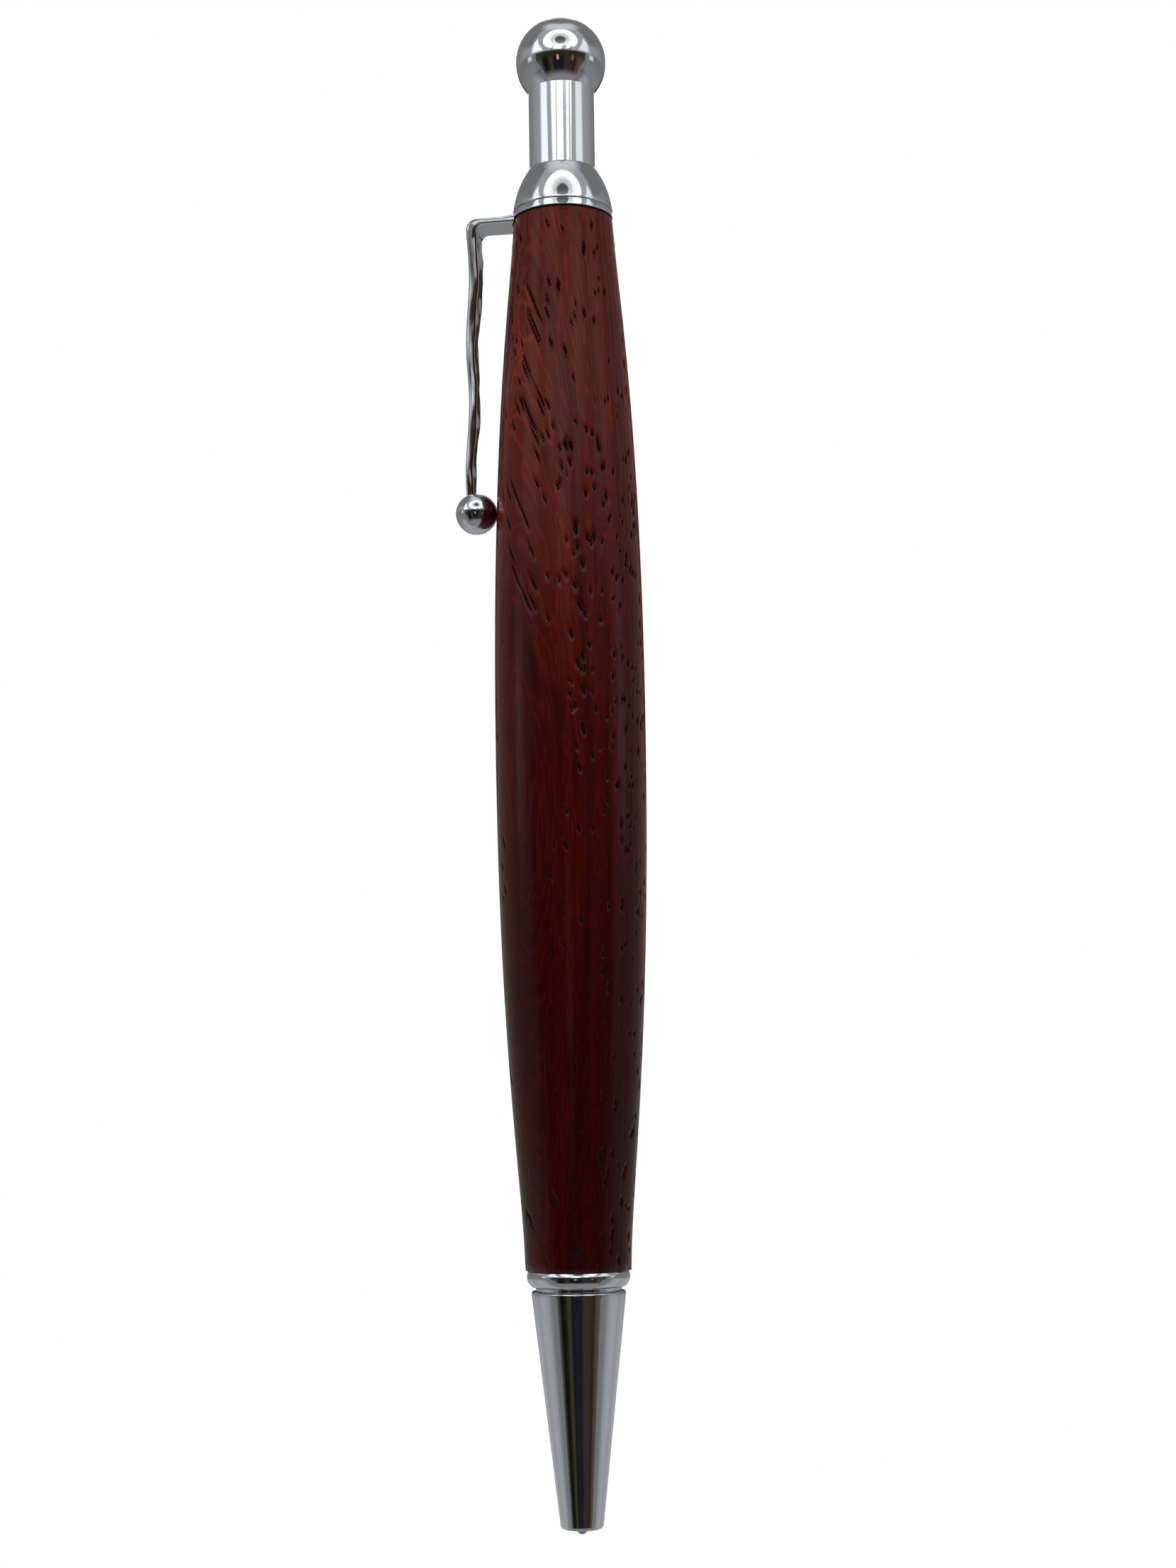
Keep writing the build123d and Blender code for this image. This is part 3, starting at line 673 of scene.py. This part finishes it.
PORE_DEPTH, RIM_EDGE, BREAK_DEPTH = 0.17, 0.12, 0.20
BARREL_ROWS, BARREL_COLUMNS = 322, 300
turn = np.linspace(0, 2 * pi, BARREL_COLUMNS, endpoint=False)[None, :]
barrel_level = wood_z + (wood_top_z - wood_z) * np.linspace(0, 1, BARREL_ROWS)[:, None]
from_bottom, from_top = barrel_level - wood_z, wood_top_z - barrel_level
barrel_r = barrel_outline()(barrel_level) + 0 * turn
pores = vessel_depth(swept(barrel_r, turn, barrel_level).reshape(-1, 3)).reshape(barrel_r.shape)
pores *= smooth(from_bottom, 0.2, 0.9) * smooth(from_top, 0.2, 0.9)
# The bottom edge broke back where the grain ran out, and kept its full width only at the two sides
broken = 1 - smooth(np.abs(np.cos(turn)) + 0.05 * np.sin(9 * turn), 0.90, 0.97)
bottom_cut = BREAK_DEPTH * broken * (1 - smooth(from_bottom, 0.0, 0.45))
top_cut = RIM_EDGE * (1 - smooth(from_top, 0.0, 0.35))
barrel_r = barrel_r - PORE_DEPTH * pores - bottom_cut - top_cut
barrel_points = np.concatenate([swept(barrel_r, turn, barrel_level), swept(tube_r, turn, wood_top_z),
                                swept(tube_r, turn, wood_z)])
barrel = mesh_object("turned_barrel", barrel_points.reshape(-1, 3),
                     grid_faces(BARREL_ROWS + 2, BARREL_COLUMNS, True, True), smooth_angle=60)
# Painted shadow: the top row is marked as open all round, which draws a thin dark line of shade under the
# clip's ring
pores[-1] = 0.8
pore_and_rim_shade_values = np.concatenate([pores, np.zeros((2, BARREL_COLUMNS))]).astype(np.float32).ravel()
barrel.data.attributes.new("pore_and_rim_shade", "FLOAT", "POINT").data.foreach_set("value", pore_and_rim_shade_values)
print("barrel:", len(barrel.data.polygons), "faces,", round(float((pores > 0.3).mean()) * 100, 2), "% pores")

# %% [markdown]
# ## Padauk
# Padauk turns from orange to a deep brown red with light and age.  Its growth layers are nearly flat
# sheets in a piece this small, so the colour is a function of the distance across the sheets, bent by a
# slow noise: broad bands from ruby to purple brown, and fine pale lines half a millimetre apart.  On the
# flanks, where the turned surface runs along a sheet, the same bands open into long tongues.  The finish
# is a thin friction polish that has not filled the pores.


# %% Wood material
def padauk():
    """Growth bands across the sheets, fine wavy lines, dark open pores and a satin polish."""
    material, tree, shader = new_material("padauk_turned_friction_polished")
    place = add(tree, "TexCoord").outputs["Object"]
    # Bent out of true twice: a slow sway of the whole grain, then a small ripple.  Each is a noise that
    # is stretched upright, with its period and its reach in millimetres.
    bent = place
    for upright, period, reach in ((0.3, 15, 4.0), (1 / 6, 1.1, 0.22)):
        tall = add(tree, "Mapping", {"Vector": place, "Scale": (1, 1, upright)})
        noise = add(tree, "TexNoise", {"Vector": tall, "Scale": 1 / (period * MM), "Detail": 1.0})
        centred = add(tree, "VectorMath", {0: noise.outputs["Color"], 1: (0.5, 0.5, 0.5)},
                      operation="SUBTRACT")
        push = add(tree, "VectorMath", {0: centred, "Scale": reach * MM}, operation="SCALE")
        bent = add(tree, "VectorMath", {0: bent, 1: push}, operation="ADD")
    across, within_sheet, along = (
        add(tree, "VectorMath", {0: bent, 1: tuple(way)}, operation="DOT_PRODUCT").outputs["Value"]
        for way in (SHEET_WAY, IN_SHEET, VESSEL_LEAN))
    across_share = add(tree, "MapRange", {"Value": across, "From Min": -7 * MM, "From Max": 7 * MM})
    bands = ramp(tree, across_share, [
        (0.0, "#3f120b"), (0.08, "#4a150c"), (0.15, "#37100d"), (0.24, "#4e170e"), (0.31, "#5a1b10"),
        (0.36, "#481612"), (0.39, "#3a1310"), (0.41, "#541a11"), (0.44, "#351210"), (0.46, "#4c1812"),
        (0.49, "#3a1412"), (0.51, "#511a12"), (0.54, "#3c1411"), (0.57, "#541a10"), (0.66, "#4a150e"),
        (0.74, "#561910"), (0.80, "#45130e"), (0.86, "#5e1d12"), (0.93, "#541a12"), (1.0, "#4c1611")])
    # Fine lines: sheets half a millimetre apart, long along the vessels
    sheet_place = add(tree, "CombineXYZ", {"X": across, "Y": within_sheet, "Z": along})
    sheets = add(tree, "Mapping", {"Vector": sheet_place, "Scale": (1, 0.10, 0.015)})
    fine = add(tree, "TexNoise", {"Vector": sheets, "Scale": 1 / (0.8 * MM), "Detail": 2.5, "Roughness": 0.6})
    lines = ramp(tree, fine, [
        (0.30, 0.6), (0.38, 0.9), (0.40, 1.45), (0.42, 0.85), (0.46, 0.95), (0.48, 1.6), (0.50, 0.8),
        (0.54, 1.0), (0.56, 1.65), (0.58, 0.9), (0.64, 1.1), (0.66, 1.5), (0.70, 1.0)])
    # Painted light and shade: the wood is made lighter at the top, where the light falls from above, and
    # darker and redder down the barrel
    up = add(tree, "SeparateXYZ", {"Vector": place}).outputs["Z"]
    level = add(tree, "MapRange", {"Value": up, "From Min": wood_z * MM, "From Max": wood_top_z * MM})
    painted_light_from_above = ramp(tree, level, [(0.0, "#6b2828"), (0.25, "#702e2e"), (0.5, "#966060"), (0.72, "#b68f86"),
                                   (0.85, "#cac8ba"), (0.93, "#d0d0c8")])
    grain = bands
    for layer in (lines, painted_light_from_above):
        grain = add(tree, "Mix", {"Factor": 1.0, 6: grain, 7: layer}, data_type="RGBA",
                    blend_type="MULTIPLY").outputs[2]
    # Pores, and the painted shadow line under the ring: dark, matt and ragged at the edge
    pore_and_rim_shade = add(tree, "Attribute", attribute_name="pore_and_rim_shade").outputs["Fac"]
    ragged = add(tree, "TexNoise", {"Vector": place, "Scale": 1 / (0.18 * MM), "Detail": 2.0})
    ragged = add(tree, "Math", {0: ragged, 1: 0.35}, operation="MULTIPLY")
    pore_and_rim_shade_edge = add(tree, "Math", {0: pore_and_rim_shade, 1: ragged}, operation="SUBTRACT")
    open_pore_and_rim_shade = add(tree, "MapRange", {"Value": pore_and_rim_shade_edge, "From Min": 0.0, "From Max": 0.28})
    colour = add(tree, "Mix", {"Factor": open_pore_and_rim_shade, 6: grain, 7: linear("#110605")}, data_type="RGBA")
    patchy = add(tree, "TexNoise", {"Vector": place, "Scale": 1 / (4 * MM), "Detail": 3.0})
    satin = add(tree, "MapRange", {"Value": patchy, "To Min": 0.13, "To Max": 0.22})
    roughness = add(tree, "Mix", {"Factor": open_pore_and_rim_shade, 2: satin, 3: 0.8})
    # Fibres: grain a tenth of a millimetre wide along the vessels, and faint rings left by the sanding
    fibres_way = add(tree, "Mapping", {"Vector": place, "Scale": (1, 1, 0.05)})
    fibres = add(tree, "TexNoise", {"Vector": fibres_way, "Scale": 1 / (0.13 * MM), "Detail": 2.0})
    rings_way = add(tree, "Mapping", {"Vector": place, "Scale": (0.03, 0.03, 1)})
    rings = add(tree, "TexNoise", {"Vector": rings_way, "Scale": 1 / (0.16 * MM), "Detail": 2.0})
    rings = add(tree, "Math", {0: rings, 1: 0.35}, operation="MULTIPLY")
    relief = add(tree, "Math", {0: fibres, 1: rings}, operation="ADD")
    bump = add(tree, "Bump", {"Height": relief, "Strength": 0.35, "Distance": 0.02 * MM})
    # The polish is thicker below the middle, and doesn't reach into the pores
    polish = add(tree, "MapRange", {"Value": level, "From Min": 0.5, "To Min": 0.21, "To Max": 0.12})
    sheen = add(tree, "Mix", {"Factor": open_pore_and_rim_shade, 2: polish, 3: 0.03})
    plug(tree, shader, {"Base Color": colour.outputs[2], "Roughness": roughness,
                        "Normal": bump, "Specular IOR Level": sheen})
    return material


barrel.data.materials.append(padauk())
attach(barrel, "barrel")
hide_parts("wood_barrel")

# %% [markdown]
# ## Turned fittings
# Each chromed fitting is cut as one closed profile.  The rounds are the point: a tenth of a millimetre
# where the cap meets the ring, nearly half a millimetre at the cone's lip, and a full bead below the wood.


# %% Fitting helpers
def arc_between(start, end, rise, steps=16):
    """The arc from start to end that rises to the right of its chord; with half the chord h, the radius is
    (h^2 + rise^2) / (2 rise)."""
    start, end = np.array(start, float), np.array(end, float)
    chord = end - start
    length = np.linalg.norm(chord)
    out = np.array([chord[1], -chord[0]]) / length
    arc_r = (length ** 2 / 4 + rise ** 2) / (2 * rise)
    centre = (start + end) / 2 - out * (arc_r - rise)
    half = np.arcsin(length / 2 / arc_r)
    angle = np.linspace(-half, half, steps)[:, None]
    return centre + arc_r * (out * np.cos(angle) + chord / length * np.sin(angle))


def corners_of(line, round_at_ends):
    """Turns points into corners with no round, but for the two ends."""
    rounds = [round_at_ends] + [0.0] * (len(line) - 2) + [round_at_ends]
    return [(r, z, corner_round) for (r, z), corner_round in zip(line, rounds)]


def fitted(piece, body, node, finish=chrome):
    """Gives a fitting its finish and its body, and hides the CAD node it stands for."""
    piece.data.materials.append(finish)
    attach(piece, body)
    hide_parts(node)
    return piece


# %% Nose cone
# A straight taper with a rolled lip; inside, a way for the point, the spring, the refill and the thread
MOUTH_R, MOUTH_BORE_R, SPRING_BORE_R, WAY_R, THREAD_BORE_R = 1.89, 1.2, 1.95, 2.98, 3.45
THREAD_DEPTH, SHOULDER_ROOM = 3.6, 3.9
cone_r, thread_end_z, way_end_z = radius("nose_cone"), cone_top_z - THREAD_DEPTH, shoulder_z - SHOULDER_ROOM
nose = turned("polished_nose_cone", rounded([
    (MOUTH_R, cone_z, 0.42), (cone_r, cone_top_z, 0.16), (THREAD_BORE_R, cone_top_z, 0.05),
    (THREAD_BORE_R, thread_end_z, 0), (WAY_R, thread_end_z, 0), (WAY_R, way_end_z, 0),
    (SPRING_BORE_R, way_end_z, 0), (SPRING_BORE_R, seat_z - 0.01, 0), (MOUTH_BORE_R, seat_z - 0.01, 0),
    (MOUTH_BORE_R, cone_z, 0.12)]))
fitted(nose, "nose", "nose_cone")

# %% Lower coupler
# Sleeve, bead, groove and threaded stub
NECK_R, THREAD_R, NECK_HEIGHT, BEAD_ROUND, BEAD_BULGE = 3.85, 3.39, 0.33, 0.42, 0.30
bead_r, bead_low_z = radius("lower_coupler"), cone_top_z + 0.38
neck_low_z = bead_low_z - NECK_HEIGHT
coupler_low_z, coupler_top_z = heights("lower_coupler")
bead_side = arc_between((bead_r - BEAD_ROUND, bead_low_z), (bead_r - 0.1, wood_z), BEAD_BULGE)
coupler = turned("bead_coupler", rounded([
    (WAY_R, coupler_low_z, 0.05), (THREAD_R, coupler_low_z, 0.08), (THREAD_R, neck_low_z, 0),
    (NECK_R, neck_low_z, 0.03), (NECK_R, bead_low_z, 0.06), *corners_of(bead_side, 0.03),
    (tube_in_r, wood_z, 0), (tube_in_r, coupler_top_z, 0.05), (WAY_R, coupler_top_z, 0.05)]))
fitted(coupler, "barrel", "lower_coupler")

# %% Clip ring and cap
# A thin band, its edges just broken, under a low dome with a narrow flat round the shaft
RING_TAPER, RING_EDGE, DOME_BULGE, CAP_FLAT, CAP_SOCKET, COUPLER_WALL = 0.11, 0.05, 0.28, 0.05, 2.1, 0.42
ring_r, cap_bore_r = radius("top_cap"), radius("upper_coupler") - COUPLER_WALL
ring = turned("clip_band", rounded([
    (tube_in_r, ring_z, 0), (ring_r, ring_z, RING_EDGE), (ring_r - RING_TAPER, ring_top_z, RING_EDGE),
    (tube_in_r, ring_top_z, 0)]))
fitted(ring, "barrel", "clip_ring")
dome = arc_between((ring_r, ring_top_z), (cap_bore_r + CAP_FLAT, cap_top_z), DOME_BULGE)
cap = turned("domed_cap", rounded([
    *corners_of(dome, 0.08), (cap_bore_r, cap_top_z, 0), (cap_bore_r, ring_top_z + CAP_SOCKET, 0),
    (tube_in_r, ring_top_z + CAP_SOCKET, 0), (tube_in_r, ring_top_z, 0)]))
fitted(cap, "barrel", "top_cap")


# %% Parts closed on the axis
def solid_turned(name, side, segments=224):
    """A lathe part with no hole: its side runs from the axis at the bottom to the axis at the top."""
    side = np.asarray(side, float)
    turn = np.linspace(0, 2 * pi, segments, endpoint=False)
    points = swept(side[1:-1, :1], turn, side[1:-1, 1:2]).reshape(-1, 3)
    low, high, last = len(points), len(points) + 1, (len(side) - 3) * segments
    points = np.concatenate([points, [[0, 0, side[0, 1]], [0, 0, side[-1, 1]]]])
    here = np.arange(segments)
    after = (here + 1) % segments
    faces = grid_faces(len(side) - 2, segments, False, True)
    faces += np.stack([0 * here + low, after, here], axis=1).tolist()
    faces += np.stack([0 * here + high, last + here, last + after], axis=1).tolist()
    piece = mesh_object(name, points, faces)
    print(name, len(piece.data.polygons), "faces")
    return piece


def open_outline(corners):
    """The rounded outline of corners from first to last, without the closing stretch."""
    outline = rounded(corners)
    last = np.array(corners[-1][:2])
    return outline[:int(np.argmin(np.linalg.norm(outline - last, axis=1))) + 1]


# %% Push shaft and ball
# A plain tube, closed at the top, with a spigot inside the ball.  The ball is a sphere cut flat where it
# seats on the shaft and bored for the spigot.
SHAFT_BORE_R, SPIGOT_R, CROWN = 2.3, 1.8, 2.0
bore_top_z, spigot_top_z = ball_seat_z - CROWN, heights("push_shaft")[1]
shaft = solid_turned("push_tube", open_outline([
    (0, bore_top_z, 0), (SHAFT_BORE_R, bore_top_z, 0.1), (SHAFT_BORE_R, shaft_z, 0.05),
    (shaft_r, shaft_z, 0.1), (shaft_r, ball_seat_z, 0), (SPIGOT_R, ball_seat_z, 0),
    (SPIGOT_R, spigot_top_z, 0.1), (0, spigot_top_z, 0)]))
fitted(shaft, "button", "push_shaft")
ball_z = ball_top_z - ball_r
swing = np.linspace(np.arcsin((ball_seat_z - ball_z) / ball_r), pi / 2, 72)
ball_side = np.stack([ball_r * np.cos(swing), ball_z + ball_r * np.sin(swing)], axis=-1)
ball = solid_turned("push_ball_skin", np.concatenate([
    [[0, spigot_top_z + 0.02], [SPIGOT_R + 0.01, spigot_top_z + 0.02], [SPIGOT_R + 0.01, ball_seat_z + 0.005],
     [ball_side[0, 0] - 0.02, ball_seat_z + 0.005]], ball_side]))
fitted(ball, "button", "push_ball")

# %% [markdown]
# ## Clip
# The clip is bent from one strip: a thin, wide arm out of the ring, a tight knee, a long wavy bar that
# gets narrower, and a ball at the end.  It is a grid of rounded cross-sections between an inner and an
# outer rail.


# %% Clip helpers
def quarter(centre, r, start, end, steps=9):
    """Points of an arc in the XZ plane, by angle in degrees."""
    angle = np.radians(np.linspace(start, end, steps))
    return np.stack([centre[0] + r * np.cos(angle), centre[1] + r * np.sin(angle)], axis=-1)


def straight(start, end, steps=12):
    """Evenly spaced points from one point to another."""
    share = np.linspace(0, 1, steps)[:, None]
    return np.array(start) * (1 - share) + np.array(end) * share


def strip_section(thickness, width, outer_edge, inner_edge, steps=6, across=5):
    """A rounded rectangle as (out, sideways) points; flat stretches get points of their own."""
    half, wide = thickness / 2, width / 2
    corners = [(half, -wide, outer_edge), (half, wide, outer_edge), (-half, wide, inner_edge),
               (-half, -wide, inner_edge)]
    outline = []
    for i, (out, side, r) in enumerate(corners):
        arc = quarter((out - np.sign(out) * r, side - np.sign(side) * r), r, -90 + 90 * i, 90 * i, steps)
        out, side = corners[(i + 1) % 4][:2]
        goal = quarter((out - np.sign(out) * r, side - np.sign(side) * r), r, 90 * i, 90 * i, 1)[0]
        outline += [arc, straight(arc[-1], goal, across + 1)[1:-1]]
    return np.concatenate(outline)


# %% Clip rails
ARM_HEIGHT, ARM_WIDTH, BAR_END_WIDTH = 0.6, 4.0, 2.0
KNEE_X, KNEE_THICKNESS, END_THICKNESS, FOOT_OFFSET = 8.95, 0.95, 0.66, 0.42
WAVE_HEIGHT, WAVE_LENGTH, WAVE_START = 0.15, 12.4, 4.9
KNEE_ROUND, GUSSET_ROUND, ROOT_RISE, BAR_STEPS = 1.1, 0.65, 0.15, 110
arm_top_z, bar_end_z = heights("clip_arm")[1], heights("clip_bar")[0]
arm_low_z, arm_mid_z = arm_top_z - ARM_HEIGHT, arm_top_z - ARM_HEIGHT / 2
bar_length = arm_low_z - bar_end_z
clip_ball_low, clip_ball_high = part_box("clip_ball")
clip_ball_r = radius("clip_ball")
clip_ball_x, clip_ball_z = clip_ball_low.x / MM + clip_ball_r, clip_ball_low.z / MM + clip_ball_r
lean = (-clip_ball_x + FOOT_OFFSET - (KNEE_X - KNEE_THICKNESS / 2)) / bar_length


def bar_rails(depth):
    """Inner and outer x of the bar at a depth under the arm: a leaning line with a wave, and a taper."""
    wave = WAVE_HEIGHT * np.cos(2 * pi * (depth - WAVE_START) / WAVE_LENGTH)
    middle = KNEE_X - KNEE_THICKNESS / 2 + lean * depth - wave
    half = (KNEE_THICKNESS + (END_THICKNESS - KNEE_THICKNESS) * depth / bar_length) / 2
    return -(middle - half), -(middle + half)


def rail(which, arm_start, level, round_r):
    """One edge of the strip seen from the side: along the arm, round the knee, and down the bar."""
    knee = bar_rails(0.0)[which]
    arm = straight((arm_start, level), (knee + round_r, level))
    corner = quarter((knee + round_r, level - round_r), round_r, 90, 180)
    depth = np.linspace(arm_low_z - level + round_r, bar_length, BAR_STEPS)
    bar = np.stack([bar_rails(depth)[which], arm_low_z - depth], axis=-1)
    return np.concatenate([arm[:-1], corner[:-1], bar])


inner_rail = rail(0, -(ring_r + 0.08), arm_low_z, GUSSET_ROUND)
outer_rail = rail(1, -(ring_r - 0.02), arm_top_z, KNEE_ROUND)
# The arm's top slopes up to the ring over its first part
outer_rail[:, 1] += ROOT_RISE * (1 - smooth(-outer_rail[:, 0], ring_r, ring_r + 0.9))
print("clip bar:", round(bar_length, 2), "mm long, leaning", round(lean, 4))


# %% Clip strip
def marks(share, side):
    """How far the polisher's marks push the bar's inner face: two slanting ripples, faded at both ends."""
    depth = share * bar_length
    ripples = (0.040 * np.sin(2 * pi * depth / 5.2 + 1.3 * side)
               + 0.012 * np.sin(2 * pi * depth / 2.4 - 2 * side + 1))
    return ripples * smooth(share, 0.02, 0.10) * smooth(1 - share, 0.02, 0.10)


share_down = np.clip((arm_low_z - (outer_rail[:, 1] + inner_rail[:, 1]) / 2) / bar_length, 0, 1)
narrowing = 0.6 * smooth(share_down, -0.25, 0.5) + 0.4 * share_down
widths = ARM_WIDTH + (BAR_END_WIDTH - ARM_WIDTH) * narrowing
widths += 0.035 * np.sin(2 * pi * share_down * bar_length / 5.6) * smooth(share_down, 0.12, 0.3)
inner_edges = 0.14 + 0.26 * smooth(share_down, 0.0, 0.05)
strip_points = []
for outer, inner, width, edge, share in zip(outer_rail, inner_rail, widths, inner_edges, share_down):
    thickness = np.linalg.norm(outer - inner)
    section = strip_section(thickness, width, min(0.36, 0.42 * thickness), min(edge, 0.5 * thickness))
    pushed = section[:, :1] + marks(share, section[:, 1:]) * smooth(-section[:, :1], -0.1, 0.1)
    place = (outer + inner) / 2 + pushed * (outer - inner) / thickness
    strip_points.append(np.stack([place[:, 0], section[:, 1], place[:, 1]], axis=-1))
strip_points = np.array(strip_points)
# The root is hollowed to the ring's round
root = strip_points[0]
root[:, 0] = -np.sqrt(root[:, 0] ** 2 - root[:, 1] ** 2)
strip = merged(mesh_object("clip_strip", strip_points.reshape(-1, 3), closed_tube(*strip_points.shape[:2])))
strip.data.set_sharp_from_angle(angle=radians(40))
strip.data.materials.append(chrome)
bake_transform(strip)
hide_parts("clip_arm", "clip_bar")
print("clip strip:", len(strip.data.polygons), "faces")

# %% Clip ball
swing = np.linspace(-pi / 2, pi / 2, 64)
bead = solid_turned("clip_ball_skin", clip_ball_r * np.stack([np.cos(swing), np.sin(swing)], axis=-1), 96)
bead.data.transform(Matrix.Translation(Vector((clip_ball_x, 0, clip_ball_z)) * MM))
fitted(bead, "clip", "clip_ball")

# %% [markdown]
# ## Return spring
# A helix with flattened end coils: the rise per turn is small for the first and the last turn.  It moves
# with the refill, whose shoulder it rides on.

# %% Return spring
WIRE_R, COIL_R, COILS, WIRE_SIDES, END_RISE, SPRING_TRAVEL = 0.15, 1.72, 9, 12, 0.34, 3.6
spring_turns = np.linspace(0, COILS, COILS * 40 + 1)
rise = np.where((spring_turns < 1) | (spring_turns > COILS - 1), END_RISE, 1.0)
climb = np.concatenate([[0], np.cumsum((rise[1:] + rise[:-1]) / 2 * np.diff(spring_turns))])
spring_low, spring_high = seat_z + WIRE_R, shoulder_z - WIRE_R
spring_line_z = spring_low + (spring_high - spring_low) * climb / climb[-1]
swirl = 2 * pi * spring_turns
spring_line = np.stack([COIL_R * np.cos(swirl), COIL_R * np.sin(swirl), spring_line_z], axis=-1)
way = np.gradient(spring_line, axis=0)
way /= np.linalg.norm(way, axis=1)[:, None]
outwards = np.stack([np.cos(swirl), np.sin(swirl), 0 * swirl], axis=-1)
wire_turn = np.linspace(0, 2 * pi, WIRE_SIDES, endpoint=False)[None, :, None]
wire_points = spring_line[:, None] + WIRE_R * (np.cos(wire_turn) * outwards[:, None]
                                               + np.sin(wire_turn) * np.cross(way, outwards)[:, None])
spring = merged(mesh_object("return_spring_wire", wire_points.reshape(-1, 3),
                            closed_tube(len(spring_line), WIRE_SIDES)))
fitted(spring, "refill", "return_spring", finish=spring_steel)
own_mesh(spring)
print("spring:", len(spring.data.polygons), "faces")
